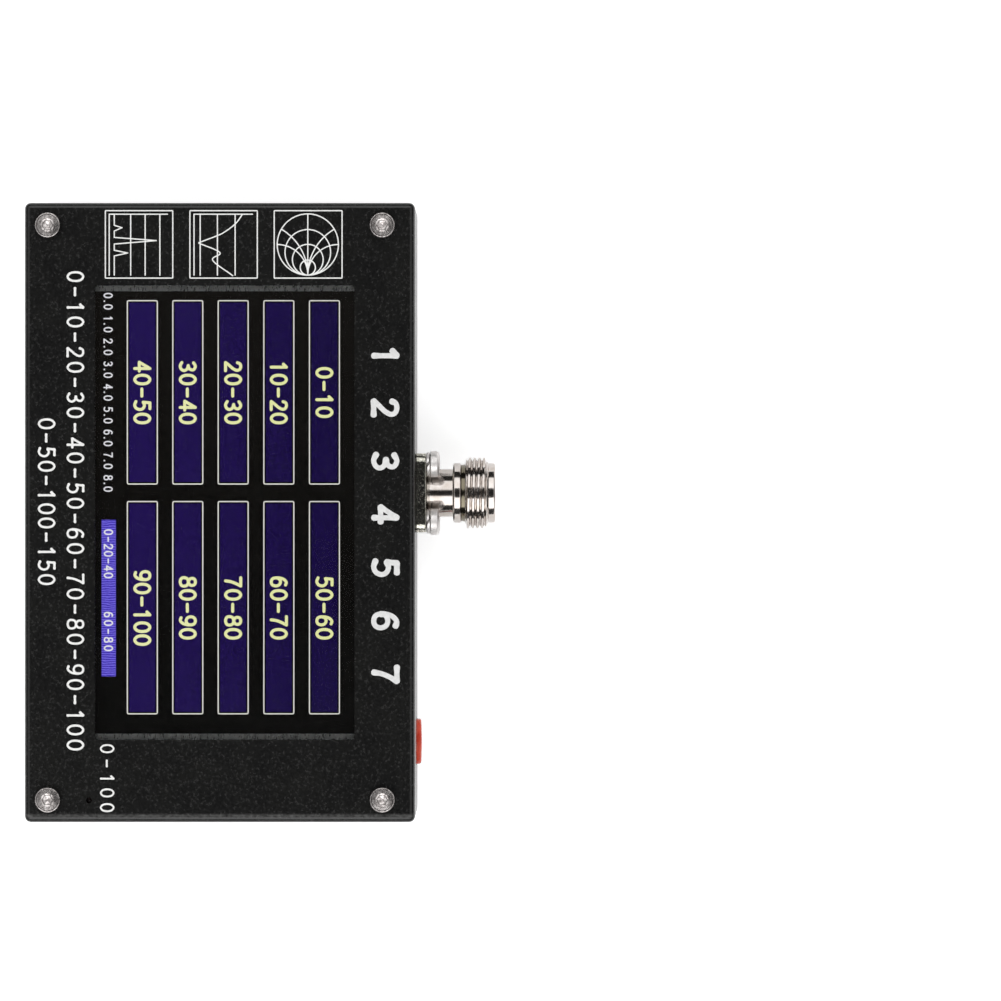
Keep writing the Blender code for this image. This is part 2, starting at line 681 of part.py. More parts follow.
def back_cover():
    """A plate inside the walls' edge, with a tab bent up from each notch to grip the wall."""
    cover = extruded("back_cover", [cover_outline()], SHEET, PARTS, (0.0, 0.0, SHEET / 2))
    form = bmesh.new()
    form.from_mesh(cover.data)
    for outward, along, distance, shift in cover_sides():
        for middle in (-shift, shift):
            root = outward * (distance - TAB_BEND_RADIUS) + along * middle
            near = {face: (face.calc_center_median() - root).length for face in form.faces}
            edge = [face for face in form.faces if near[face] < MERGE_DISTANCE]
            centre = root + Vector((0.0, 0.0, TAB_BEND_RADIUS - SHEET / 2))
            bend = Matrix.Rotation(-math.pi / 2 / ARC_STEPS, 3, along)
            for step in range(ARC_STEPS):
                edge, verts = extruded_faces(form, edge)
                bmesh.ops.rotate(form, cent=centre, matrix=bend, verts=verts)
            edge, verts = extruded_faces(form, edge)
            bmesh.ops.translate(form, vec=(0.0, 0.0, TAB_HEIGHT - TAB_BEND_RADIUS), verts=verts)
    bmesh.ops.recalc_face_normals(form, faces=form.faces)
    form.to_mesh(cover.data)
    form.free()
    dressed(cover, "black_powder_coat")


def front_screws():
    """Button-head screws with a hex socket, from the front face into the pillars."""
    head_seat = CASE_DEPTH + SEAT_GAP
    shank = head_seat - PILLAR_MIDDLE - SCREW_END_GAP / 2
    profile = [(0.0, BUTTON_HEAD_HEIGHT)]
    flat = HEX_SOCKET_FLATS / 2 + HEX_SOCKET_FLATS / 4
    for step in range(ARC_STEPS + 1):
        angle = step / ARC_STEPS * math.pi / 2
        reach = BUTTON_HEAD_RADIUS - flat
        profile.append((flat + reach * math.sin(angle), BUTTON_HEAD_HEIGHT * math.cos(angle)))
    profile += [(THREAD_RADIUS, 0.0), (THREAD_RADIUS, -shank), (0.0, -shank)]
    master = turned("front_screw", profile, SMALL_STEPS, PARTS, (0.0, 0.0, 0.0))
    deep = HEX_SOCKET_DEPTH + CUT_OVERRUN
    centre = BUTTON_HEAD_HEIGHT - HEX_SOCKET_DEPTH + deep / 2
    cut(master, extruded("hex_cutter", [hexagon(HEX_SOCKET_FLATS)], deep, CUTTERS, (0.0, 0.0, centre)))
    names = [f"front_screw_{number}" for number in range(1, 5)]
    copies(master, names, [(x, y, head_seat) for x, y in CORNERS], "stainless_steel")


def pan_screw(name, shank, turn):
    """A pan-head screw with a cross recess, its head towards +Z until it is turned."""
    profile = [(0.0, PAN_HEAD_HEIGHT)]
    flat = PAN_HEAD_RADIUS / 2
    edge = PAN_HEAD_HEIGHT / 2
    for step in range(ARC_STEPS + 1):
        angle = step / ARC_STEPS * math.pi / 2
        reach = PAN_HEAD_RADIUS - flat
        profile.append((flat + reach * math.sin(angle), edge + (PAN_HEAD_HEIGHT - edge) * math.cos(angle)))
    profile += [(PAN_HEAD_RADIUS, 0.0), (THREAD_RADIUS, 0.0), (THREAD_RADIUS, -shank), (0.0, -shank)]
    screw = turned(name, profile, SMALL_STEPS, PARTS, (0.0, 0.0, 0.0))
    low = PAN_HEAD_HEIGHT - CROSS_DEPTH
    high = PAN_HEAD_HEIGHT + CUT_OVERRUN
    half_length = CROSS_LENGTH / 2
    half_width = CROSS_WIDTH / 2
    along_low = (-half_length, -half_width, low)
    along_high = (half_length, half_width, high)
    across_low = (-half_width, -half_length, low)
    across_high = (half_width, half_length, high)
    bar = block(name + "_bar", along_low, along_high, CUTTERS)
    cross = block(name + "_cross", across_low, across_high, CUTTERS)
    joined(bar, cross)
    cut(screw, settled(bar))
    settled(screw)
    screw.rotation_euler = turn
    return screw


def pillars_and_board_screws():
    """Hex pillars between the front face and the main board, each with a screw from behind."""
    height = PILLAR_HIGH - PILLAR_LOW
    circle = arc((0.0, 0.0), SCREW_HOLE_RADIUS, 0, 4, SMALL_STEPS)[:-1]
    master = extruded("board_pillar", [hexagon(HEX_FLATS), circle], height, PARTS)
    names = [f"board_pillar_{number}" for number in range(1, 5)]
    copies(master, names, [(x, y, PILLAR_MIDDLE) for x, y in CORNERS], "zinc_plate")
    shank = PILLAR_MIDDLE - SCREW_END_GAP / 2 - BOARD_SEAT
    master = pan_screw("board_screw", shank, ALONG_MINUS_Z)
    names = [f"board_screw_{number}" for number in range(1, 5)]
    copies(master, names, [(x, y, BOARD_SEAT) for x, y in CORNERS], "zinc_plate")


def display():
    """Gasket, touch glass and LCD behind the window, centred on it."""
    outer = rounded_rectangle(GLASS_LENGTH, GLASS_WIDTH, WINDOW_RADIUS)
    inner_length = GLASS_LENGTH - 2 * GASKET_BAND
    inner_width = GLASS_WIDTH - 2 * GASKET_BAND
    inner = rounded_rectangle(inner_length, inner_width, WINDOW_RADIUS)
    place = (0.0, WINDOW_SHIFT_Y, GASKET_TOP - GASKET_THICKNESS / 2)
    dressed(extruded("window_gasket", [outer, inner], GASKET_THICKNESS, PARTS, place), "black_foam")
    place = (0.0, WINDOW_SHIFT_Y, GLASS_TOP - GLASS_THICKNESS / 2)
    dressed(extruded("touch_glass", [outer], GLASS_THICKNESS, PARTS, place), "dark_glass")
    half_x = LCD_LENGTH / 2
    half_y = LCD_WIDTH / 2
    low = Vector((-half_x, WINDOW_SHIFT_Y - half_y, LCD_BOTTOM))
    high = Vector((half_x, WINDOW_SHIFT_Y + half_y, LCD_TOP))
    frame = opened_box("lcd_frame", low, high, LCD_FRAME_WALL, (0, 0, -1), PARTS)
    view = block(
        "lcd_view_cutter",
        (low.x + LCD_FRAME_LIP, low.y + LCD_FRAME_LIP, high.z - LCD_THICKNESS / 2),
        (high.x - LCD_FRAME_LIP, high.y - LCD_FRAME_LIP, high.z + CUT_OVERRUN),
        CUTTERS,
    )
    cut(frame, view)
    half_ribbon = RIBBON_WIDTH / 2 + TOUCH_GAP
    way_out = block(
        "ribbon_exit_cutter",
        (-half_ribbon, low.y - CUT_OVERRUN, low.z - CUT_OVERRUN),
        (half_ribbon, low.y + LCD_FRAME_WALL + TOUCH_GAP, low.z + LCD_THICKNESS / 2),
        CUTTERS,
    )
    cut(frame, way_out)
    dressed(frame, "tinned_steel")
    inside = LCD_FRAME_WALL + TOUCH_GAP
    panel = block(
        "lcd_panel",
        (low.x + inside, low.y + inside, low.z),
        (high.x - inside, high.y - inside, high.z - inside),
        PARTS,
    )
    dressed(panel, "lcd_black")


def ribbon():
    """The display's flat cable: out of the LCD, down through the board's slot and back to its socket."""
    start_y = LCD_LOW_Y + LCD_FRAME_WALL
    slot_y = LCD_LOW_Y - RIBBON_REACH
    top_z = LCD_BOTTOM + LCD_THICKNESS / 4
    low_z = BOARD_SEAT - RIBBON_SOCKET_HEIGHT / 2
    bend = start_y - slot_y
    turn_back = BOARD_BOTTOM - low_z
    half = RIBBON_THICKNESS / 2
    end_y = RIBBON_SOCKET_LOW_Y - TOUCH_GAP
    upper = (start_y, top_z - bend)
    lower = (slot_y + turn_back, BOARD_BOTTOM)
    outline = [(start_y, top_z + half)]
    outline += arc(upper, bend + half, 1, 2, ARC_STEPS)
    outline += arc(lower, turn_back + half, 2, 3, ARC_STEPS)
    outline += [(end_y, low_z - half), (end_y, low_z + half)]
    outline += arc(lower, turn_back - half, 3, 2, ARC_STEPS)
    outline += arc(upper, bend - half, 2, 1, ARC_STEPS)
    outline += [(start_y, top_z - half)]
    clean = [point for place, point in enumerate(outline) if place == 0 or point != outline[place - 1]]
    turn = (math.pi / 2, 0.0, math.pi / 2)
    strip = extruded("display_ribbon", [clean], RIBBON_WIDTH, PARTS, (0.0, 0.0, 0.0), turn)
    dressed(strip, "amber_film")
    half_width = RIBBON_SOCKET_WIDTH / 2
    socket = block(
        "ribbon_socket",
        (-half_width, RIBBON_SOCKET_LOW_Y, BOARD_SEAT - RIBBON_SOCKET_HEIGHT),
        (half_width, RIBBON_SOCKET_LOW_Y + RIBBON_SOCKET_DEPTH, BOARD_SEAT),
        PARTS,
    )
    dressed(socket, "white_plastic")


def main_board():
    """The board behind the display, with holes for its screws and a slot for the ribbon."""
    board = block(
        "main_board",
        (-BOARD_HALF_LENGTH, BOARD_LOW_Y, BOARD_BOTTOM),
        (BOARD_HALF_LENGTH, BOARD_HIGH_Y, BOARD_TOP),
        PARTS,
    )
    beveled(board, BOARD_RADIUS, EDGE_SEGMENTS, 2)
    deep = BOARD_THICKNESS + CUT_OVERRUN
    middle = (BOARD_TOP + BOARD_BOTTOM) / 2
    holes = []
    for number, (x, y) in enumerate(CORNERS, 1):
        place = (x, y, middle)
        name = f"board_hole_{number}"
        holes.append(rod(name, SCREW_HOLE_RADIUS, -deep, deep, SMALL_STEPS, CUTTERS, place))
    half_slot = RIBBON_WIDTH / 2 + RIBBON_SLOT_WIDTH / 4
    slot_y = LCD_LOW_Y - RIBBON_REACH
    slot = block(
        "ribbon_slot",
        (-half_slot, slot_y - RIBBON_SLOT_WIDTH / 2, middle - deep),
        (half_slot, slot_y + RIBBON_SLOT_WIDTH / 2, middle + deep),
        CUTTERS,
    )
    holes.append(slot)
    cut(board, combined("main_board_cutters", holes, CUTTERS))
    dressed(board, "board_green")


def main_board_pieces():
    """Processor, buzzer and charge lamp."""
    half = PROCESSOR_SIZE / 2
    chip = block(
        "processor_chip",
        (PROCESSOR_X - half, PROCESSOR_LOW_Y, BOARD_SEAT - PROCESSOR_HEIGHT),
        (PROCESSOR_X + half, PROCESSOR_LOW_Y + PROCESSOR_SIZE, BOARD_SEAT),
        PARTS,
    )
    dressed(chip, "black_plastic")
    profile = [
        (0.0, BUZZER_HEIGHT - BUZZER_HOLE_DEPTH),
        (BUZZER_HOLE_RADIUS, BUZZER_HEIGHT - BUZZER_HOLE_DEPTH),
        (BUZZER_HOLE_RADIUS, BUZZER_HEIGHT),
        (BUZZER_RADIUS - CHAMFER, BUZZER_HEIGHT),
        (BUZZER_RADIUS, BUZZER_HEIGHT - CHAMFER),
        (BUZZER_RADIUS, 0.0),
        (0.0, 0.0),
    ]
    place = (BUZZER_X, BUZZER_Y, BOARD_SEAT)
    dressed(turned("buzzer", profile, SMALL_STEPS, PARTS, place, ALONG_MINUS_Z), "black_plastic")
    height = PANEL_INSIDE - TOUCH_GAP - PILLAR_LOW
    profile = []
    for step in range(ARC_STEPS + 1):
        angle = step / ARC_STEPS * math.pi / 2
        profile.append((LAMP_RADIUS * math.sin(angle), height - LAMP_RADIUS * (1 - math.cos(angle))))
    profile += [
        (LAMP_RADIUS, LAMP_RIM_HEIGHT),
        (LAMP_RIM_RADIUS, LAMP_RIM_HEIGHT),
        (LAMP_RIM_RADIUS, 0.0),
        (0.0, 0.0),
    ]
    dressed(turned("charge_lamp", profile, SMALL_STEPS, PARTS, (LAMP_X, LAMP_Y, PILLAR_LOW)), "red_lamp")


def usb_port():
    """The socket's shell, open towards the right wall, and the tongue inside it."""
    mouth = HALF_LENGTH - USB_RECESS
    half = USB_WIDTH / 2
    low = Vector((mouth - USB_DEPTH, USB_Y - half, BOARD_SEAT - USB_HEIGHT))
    high = Vector((mouth, USB_Y + half, BOARD_SEAT))
    shell = opened_box("usb_socket", low, high, USB_WALL, (1, 0, 0), PARTS)
    dressed(shell, "nickel_plate")
    back = low.x + USB_WALL + TOUCH_GAP
    middle = (low.z + high.z) / 2
    half_width = USB_TONGUE_WIDTH / 2
    half_thick = USB_TONGUE_THICKNESS / 2
    tongue = block(
        "usb_tongue",
        (back, USB_Y - half_width, middle - half_thick),
        (back + USB_TONGUE_DEPTH, USB_Y + half_width, middle + half_thick),
        PARTS,
    )
    dressed(tongue, "black_plastic")


def card_reader():
    """The memory card's socket, open towards -X, with the card in it."""
    half_depth = CARD_SOCKET_DEPTH / 2
    half_width = CARD_SOCKET_WIDTH / 2
    low = Vector((CARD_X - half_depth, CARD_Y - half_width, BOARD_SEAT - CARD_SOCKET_HEIGHT))
    high = Vector((CARD_X + half_depth, CARD_Y + half_width, BOARD_SEAT))
    dressed(opened_box("card_socket", low, high, CARD_SOCKET_WALL, (-1, 0, 0), PARTS), "tinned_steel")
    middle = (low.z + high.z) / 2
    start = low.x - CARD_STICKS_OUT
    card = block(
        "memory_card",
        (start, CARD_Y - CARD_WIDTH / 2, middle - CARD_THICKNESS / 2),
        (start + CARD_LENGTH, CARD_Y + CARD_WIDTH / 2, middle + CARD_THICKNESS / 2),
        PARTS,
    )
    dressed(beveled(card, CARD_THICKNESS / 2, EDGE_SEGMENTS, 2), "black_plastic")


def headers():
    """Two rows of pins on the measuring board, in sockets under the main board."""
    base_low = MEASURING_TOP + SEAT_GAP
    base_high = base_low + HEADER_BASE_HEIGHT
    socket_low = base_high + TOUCH_GAP
    pin_top = BOARD_SEAT - HEADER_PIN_END_GAP
    half_row = HEADER_PINS * HEADER_PITCH / 2
    half_width = HEADER_WIDTH / 2
    half_pin = HEADER_PIN_SIDE / 2
    half_hole = half_pin + HEADER_PIN_CLEARANCE
    for side, x in (("left", HEADER_LEFT_X), ("right", HEADER_RIGHT_X)):
        socket = block(
            f"header_socket_{side}",
            (x - half_width, HEADER_Y - half_row, socket_low),
            (x + half_width, HEADER_Y + half_row, BOARD_SEAT),
            PARTS,
        )
        base = block(
            f"pin_header_{side}",
            (x - half_width, HEADER_Y - half_row, base_low),
            (x + half_width, HEADER_Y + half_row, base_high),
            PARTS,
        )
        pins = []
        holes = []
        for number in range(HEADER_PINS):
            y = HEADER_Y - half_row + (number + 0.5) * HEADER_PITCH
            pins.append(
                block(
                    f"pin_{side}_{number}",
                    (x - half_pin, y - half_pin, (base_low + base_high) / 2),
                    (x + half_pin, y + half_pin, pin_top),
                    CUTTERS,
                )
            )
            holes.append(
                block(
                    f"pin_hole_{side}_{number}",
                    (x - half_hole, y - half_hole, socket_low - CUT_OVERRUN),
                    (x + half_hole, y + half_hole, pin_top + TOUCH_GAP),
                    CUTTERS,
                )
            )
        cut(socket, combined(f"pin_holes_{side}", holes, CUTTERS))
        joined(base, combined(f"pins_{side}", pins, CUTTERS))
        dressed(socket, "black_plastic")
        dressed(base, "black_plastic")


def measuring_board():
    """The board that the antenna contact is soldered to, and the shield over its measuring bridge."""
    board = block(
        "measuring_board",
        (MEASURING_LOW_X, MEASURING_LOW_Y, MEASURING_BOTTOM),
        (MEASURING_HIGH_X, MEASURING_HIGH_Y, MEASURING_TOP),
        PARTS,
    )
    dressed(beveled(board, BOARD_RADIUS, EDGE_SEGMENTS, 2), "board_green")
    shield_high_y = MEASURING_HIGH_Y - SHIELD_INSET_Y
    low = (CONNECTOR_X - SHIELD_LEFT_REACH, shield_high_y - SHIELD_WIDTH, MEASURING_TOP + SEAT_GAP)
    high = (CONNECTOR_X + SHIELD_RIGHT_REACH, shield_high_y, BOARD_BOTTOM - SHIELD_TOP_GAP)
    dressed(opened_box("shield_can", low, high, SHIELD_WALL, (0, 0, -1), PARTS), "tinned_steel")


def shell_profile():
    """The connector's outside from mouth to rear, as (radius, distance from the flange's rear face)."""
    profile = [
        (0.0, CONNECTOR_LENGTH),
        (NOSE_RADIUS - CHAMFER, CONNECTOR_LENGTH),
        (NOSE_RADIUS, CONNECTOR_LENGTH - CHAMFER),
        (NOSE_RADIUS, NOSE_START),
    ]
    half_crest = THREAD_PITCH * THREAD_CREST_SHARE / 2
    for crest in reversed(range(THREAD_CRESTS)):
        middle = THREAD_START + (crest + 0.5) * THREAD_PITCH
        profile.append((THREAD_ROOT_RADIUS, middle + THREAD_PITCH / 2))
        profile.append((THREAD_CREST_RADIUS, middle + half_crest))
        profile.append((THREAD_CREST_RADIUS, middle - half_crest))
    collar_end = COLLAR_START + COLLAR_LENGTH
    profile += [
        (THREAD_ROOT_RADIUS, THREAD_START),
        (UNDERCUT_RADIUS, THREAD_START),
        (UNDERCUT_RADIUS, collar_end),
        (COLLAR_RADIUS, collar_end),
        (COLLAR_RADIUS, COLLAR_START),
        (BARREL_RADIUS, COLLAR_START),
        (BARREL_RADIUS, FLANGE_THICKNESS / 2),
        (SPIGOT_RADIUS, FLANGE_THICKNESS / 2),
        (SPIGOT_RADIUS, -SPIGOT_LENGTH),
        (0.0, -SPIGOT_LENGTH),
    ]
    return profile


def connector():
    """The N-type socket: shell with flange, insulator, and the slotted contact with its solder pin."""
    place = (CONNECTOR_X, FLANGE_SEAT_Y, CONNECTOR_Z)
    shell = turned("connector_shell", shell_profile(), LARGE_STEPS, PARTS, place, ALONG_Y)
    square = rounded_rectangle(FLANGE_SIDE, FLANGE_SIDE, FLANGE_RADIUS)
    middle = (CONNECTOR_X, FLANGE_SEAT_Y + FLANGE_THICKNESS / 2, CONNECTOR_Z)
    joined(shell, extruded("flange_solid", [square], FLANGE_THICKNESS, CUTTERS, middle, ALONG_Y))
    bore_radius = INSULATOR_RADIUS + INSULATOR_CLEARANCE
    floor = CONNECTOR_LENGTH - MOUTH_DEPTH
    bore = turned(
        "connector_bore",
        [
            (0.0, CONNECTOR_LENGTH + CUT_OVERRUN),
            (MOUTH_RADIUS, CONNECTOR_LENGTH + CUT_OVERRUN),
            (MOUTH_RADIUS, floor),
            (bore_radius, floor),
            (bore_radius, -SPIGOT_LENGTH - CUT_OVERRUN),
            (0.0, -SPIGOT_LENGTH - CUT_OVERRUN),
        ],
        LARGE_STEPS,
        CUTTERS,
        place,
        ALONG_Y,
    )
    holes = [bore]
    for number, (x, z) in enumerate(FLANGE_CORNERS, 1):
        hole_place = (x, FLANGE_SEAT_Y, z)
        top = FLANGE_THICKNESS + CUT_OVERRUN
        name = f"flange_hole_{number}"
        holes.append(
            rod(name, SCREW_HOLE_RADIUS, -CUT_OVERRUN, top, SMALL_STEPS, CUTTERS, hole_place, ALONG_Y)
        )
    cut(shell, combined("connector_cutters", holes, CUTTERS))
    dressed(shell, "nickel_plate")
    inner = CONTACT_RADIUS + CONTACT_CLEARANCE
    rear = -INSULATOR_TAIL
    name = "connector_insulator"
    ring = tube(name, INSULATOR_RADIUS, inner, rear, floor, SMALL_STEPS, PARTS, place, ALONG_Y)
    dressed(ring, "ptfe_white")
    tip = CONNECTOR_LENGTH - CONTACT_TIP_DEPTH
    bore_end = tip - CONTACT_BORE_DEPTH
    profile = [
        (0.0, bore_end),
        (CONTACT_BORE_RADIUS, bore_end),
        (CONTACT_BORE_RADIUS, tip),
        (CONTACT_RADIUS, tip),
        (CONTACT_RADIUS, rear),
        (CONTACT_PIN_RADIUS, rear),
        (CONTACT_PIN_RADIUS, rear - CONTACT_PIN_LENGTH),
        (0.0, rear - CONTACT_PIN_LENGTH),
    ]
    contact = turned("connector_contact", profile, SMALL_STEPS, PARTS, place, ALONG_Y)
    half = CONTACT_SLOT_WIDTH / 2
    reach = CONTACT_RADIUS + CUT_OVERRUN
    low_y = FLANGE_SEAT_Y + bore_end + CONTACT_SLOT_WIDTH
    high_y = FLANGE_SEAT_Y + tip + CUT_OVERRUN
    bar = block(
        "contact_slot_x",
        (CONNECTOR_X - reach, low_y, CONNECTOR_Z - half),
        (CONNECTOR_X + reach, high_y, CONNECTOR_Z + half),
        CUTTERS,
    )
    cross = block(
        "contact_slot_z",
        (CONNECTOR_X - half, low_y, CONNECTOR_Z - reach),
        (CONNECTOR_X + half, high_y, CONNECTOR_Z + reach),
        CUTTERS,
    )
    joined(bar, cross)
    cut(contact, settled(bar))
    dressed(contact, "gold_plate")


def flange_fasteners():
    """Washers and pan-head screws outside the wall, nuts inside it."""
    washer_low = FLANGE_THICKNESS + SEAT_GAP
    washer_high = washer_low + WASHER_THICKNESS
    master = tube(
        "flange_washer",
        WASHER_RADIUS,
        SCREW_HOLE_RADIUS,
        washer_low,
        washer_high,
        SMALL_STEPS,
        PARTS,
        (0.0, 0.0, 0.0),
        ALONG_Y,
    )
    seats = [(x, FLANGE_SEAT_Y, z) for x, z in FLANGE_CORNERS]
    copies(master, [f"flange_washer_{number}" for number in range(1, 5)], seats, "nickel_plate")
    head_y = FLANGE_SEAT_Y + washer_high + SEAT_GAP
    master = pan_screw("flange_screw", FLANGE_SCREW_LENGTH, ALONG_Y)
    heads = [(x, head_y, z) for x, z in FLANGE_CORNERS]
    copies(master, [f"flange_screw_{number}" for number in range(1, 5)], heads, "nickel_plate")
    circle = arc((0.0, 0.0), SCREW_HOLE_RADIUS, 0, 4, SMALL_STEPS)[:-1]
    master = extruded("flange_nut", [hexagon(HEX_FLATS), circle], FLANGE_NUT_HEIGHT, PARTS)
    master.rotation_euler = ALONG_Y
    nut_y = WALL_INSIDE_Y - SEAT_GAP - FLANGE_NUT_HEIGHT / 2
    nuts = [(x, nut_y, z) for x, z in FLANGE_CORNERS]
    copies(master, [f"flange_nut_{number}" for number in range(1, 5)], nuts, "nickel_plate")


def cap_outline():
    """The cap from above, about the joint's axis: straight sides and a crowned face towards +Y."""
    half = CAP_LENGTH / 2
    outline = [(half, -CAP_DEPTH), (half, -CAP_CROWN)]
    for step in range(1, 2 * ARC_STEPS):
        share = step / ARC_STEPS - 1.0
        outline.append((-half * share, -CAP_CROWN * share * share))
    outline += [(-half, -CAP_CROWN), (-half, -CAP_DEPTH)]
    return outline


def power_switch():
    """Latching switch: its body under the measuring board, its plunger and the red cap on the plunger.

    The cap and plunger slide along +Y, and their parent stands on that axis at the cap's face."""
    axis = bpy.data.objects.new("power_button_axis", None)
    axis.location = (BUTTON_X, CAP_FACE_Y, SWITCH_Z)
    PARTS.objects.link(axis)
    cap = extruded("button_cap", [cap_outline()], CAP_HEIGHT, PARTS)
    edges = cap.modifiers.new("rounded_edges", "BEVEL")
    edges.width = CAP_ROUNDING
    edges.segments = EDGE_SEGMENTS
    edges.limit_method = "ANGLE"
    edges.angle_limit = math.radians(40.0)
    half_bore = PLUNGER_SIDE / 2 + CAP_CLEARANCE
    socket = block(
        "cap_socket_cutter",
        (-half_bore, -CAP_DEPTH - CUT_OVERRUN, -half_bore),
        (half_bore, -CAP_DEPTH + CAP_SOCKET_DEPTH, half_bore),
        CUTTERS,
    )
    cut(cap, socket)
    cap.parent = axis
    socket.parent = axis
    dressed(cap, "red_plastic")
    half = PLUNGER_SIDE / 2
    plunger_front = -CAP_DEPTH + CAP_SOCKET_DEPTH - TOUCH_GAP
    plunger_rear = -CAP_DEPTH - SWITCH_FRONT_GAP - PLUNGER_REACH
    plunger = block("button_plunger", (-half, plunger_rear, -half), (half, plunger_front, half), PARTS)
    plunger.parent = axis
    dressed(plunger, "white_plastic")
    half_width = SWITCH_WIDTH / 2
    body = block(
        "switch_body",
        (BUTTON_X - half_width, SWITCH_FRONT_Y - SWITCH_DEPTH, SWITCH_LOW),
        (BUTTON_X + half_width, SWITCH_FRONT_Y, SWITCH_TOP),
        PARTS,
    )
    beveled(body, SWITCH_EDGE, EDGE_SEGMENTS)
    half_bore = half + CAP_CLEARANCE
    bore = block(
        "plunger_bore_cutter",
        (BUTTON_X - half_bore, CAP_FACE_Y + plunger_rear - PLUNGER_BORE_EXTRA, SWITCH_Z - half_bore),
        (BUTTON_X + half_bore, SWITCH_FRONT_Y + CUT_OVERRUN, SWITCH_Z + half_bore),
        CUTTERS,
    )
    cut(body, bore)
    dressed(body, "black_plastic")


def battery():
    """The flat cell on its foam pad, stuck to the back cover."""
    pad_low = SHEET + TOUCH_GAP
    pad = block(
        "battery_pad",
        (BATTERY_LOW_X + PAD_INSET_X, BATTERY_LOW_Y + PAD_INSET_Y, pad_low),
        (BATTERY_HIGH_X - PAD_INSET_X, BATTERY_HIGH_Y - PAD_INSET_Y, pad_low + PAD_THICKNESS),
        PARTS,
    )
    dressed(pad, "black_foam")
    low = (BATTERY_LOW_X, BATTERY_LOW_Y, BATTERY_LOW)
    high = (BATTERY_HIGH_X, BATTERY_HIGH_Y, BATTERY_HIGH)
    cell = block("battery_pack", low, high, PARTS)
    dressed(beveled(cell, BATTERY_ROUNDING, EDGE_SEGMENTS), "silver_foil")


def smooth_route(points, steps):
    """Points along a smooth curve through the given ones."""
    ends = [points[0] * 2 - points[1], *points, points[-1] * 2 - points[-2]]
    route = []
    for first, second, third, fourth in zip(ends, ends[1:], ends[2:], ends[3:]):
        for step in range(steps):
            t = step / steps
            a = second * 2
            b = (third - first) * t
            c = (first * 2 - second * 5 + third * 4 - fourth) * t * t
            d = (second * 3 - first - third * 3 + fourth) * t * t * t
            route.append((a + b + c + d) / 2)
    route.append(points[-1])
    return route


def battery_lead():
    """Plug, socket and the two wires between the battery's end and the plug."""
    cavity_width = PLUG_WIDTH + 2 * TOUCH_GAP
    cavity_height = PLUG_HEIGHT + 2 * TOUCH_GAP
    half_width = cavity_width / 2 + SOCKET_WALL
    height = cavity_height + 2 * SOCKET_WALL
    middle = MEASURING_SEAT - height / 2
    floor_x = SOCKET_MOUTH_X + SOCKET_LENGTH - SOCKET_BACK_WALL
    socket = block(
        "battery_socket",
        (SOCKET_MOUTH_X, SOCKET_Y - half_width, MEASURING_SEAT - height),
        (SOCKET_MOUTH_X + SOCKET_LENGTH, SOCKET_Y + half_width, MEASURING_SEAT),
        PARTS,
    )
    cavity = block(
        "battery_socket_cutter",
        (SOCKET_MOUTH_X - CUT_OVERRUN, SOCKET_Y - cavity_width / 2, middle - cavity_height / 2),
        (floor_x, SOCKET_Y + cavity_width / 2, middle + cavity_height / 2),
        CUTTERS,
    )
    dressed(cut(socket, cavity), "white_plastic")
    plug = block(
        "battery_plug",
        (PLUG_REAR_X, SOCKET_Y - PLUG_WIDTH / 2, middle - PLUG_HEIGHT / 2),
        (PLUG_REAR_X + PLUG_LENGTH, SOCKET_Y + PLUG_WIDTH / 2, middle + PLUG_HEIGHT / 2),
        PARTS,
    )
    dressed(plug, "white_plastic")
    start_x = BATTERY_HIGH_X + TOUCH_GAP
    start_z = (BATTERY_LOW + BATTERY_HIGH) / 2
    end_x = PLUG_REAR_X - TOUCH_GAP
    for side, name, finish in (
        (-1, "battery_wire_negative", "black_insulation"),
        (1, "battery_wire_positive", "red_insulation"),
    ):
        y = SOCKET_Y + side * WIRE_SPACING / 2
        points = []
        for along, aside, rise in WIRE_ROUTE_SHARES:
            x = start_x + (end_x - start_x) * along
            z = start_z + (middle - start_z) * rise
            points.append(Vector((x, y + side * WIRE_SWELL * aside, z)))
        route = smooth_route(points, ARC_STEPS)
        line = bpy.data.curves.new(name, "CURVE")
        line.dimensions = "3D"
        line.bevel_depth = WIRE_RADIUS
        line.bevel_resolution = 2
        line.use_fill_caps = True
        spline = line.splines.new("POLY")
        spline.points.add(len(route) - 1)
        for point, place in zip(spline.points, route):
            point.co = (*place, 1.0)
        dressed(placed(name, line, PARTS), finish)


def shade_round_pieces():
    """Smooth shading with sharp edges kept, on every mesh."""
    for piece in PARTS.objects:
        if piece.type == "MESH":
            piece.data.shade_smooth()
            piece.data.set_sharp_from_angle(angle=math.radians(35.0))


case_body()
back_cover()
front_screws()
pillars_and_board_screws()
display()
ribbon()
main_board()
main_board_pieces()
usb_port()
card_reader()
headers()
measuring_board()
connector()
flange_fasteners()
power_switch()
battery()
battery_lead()
shade_round_pieces()
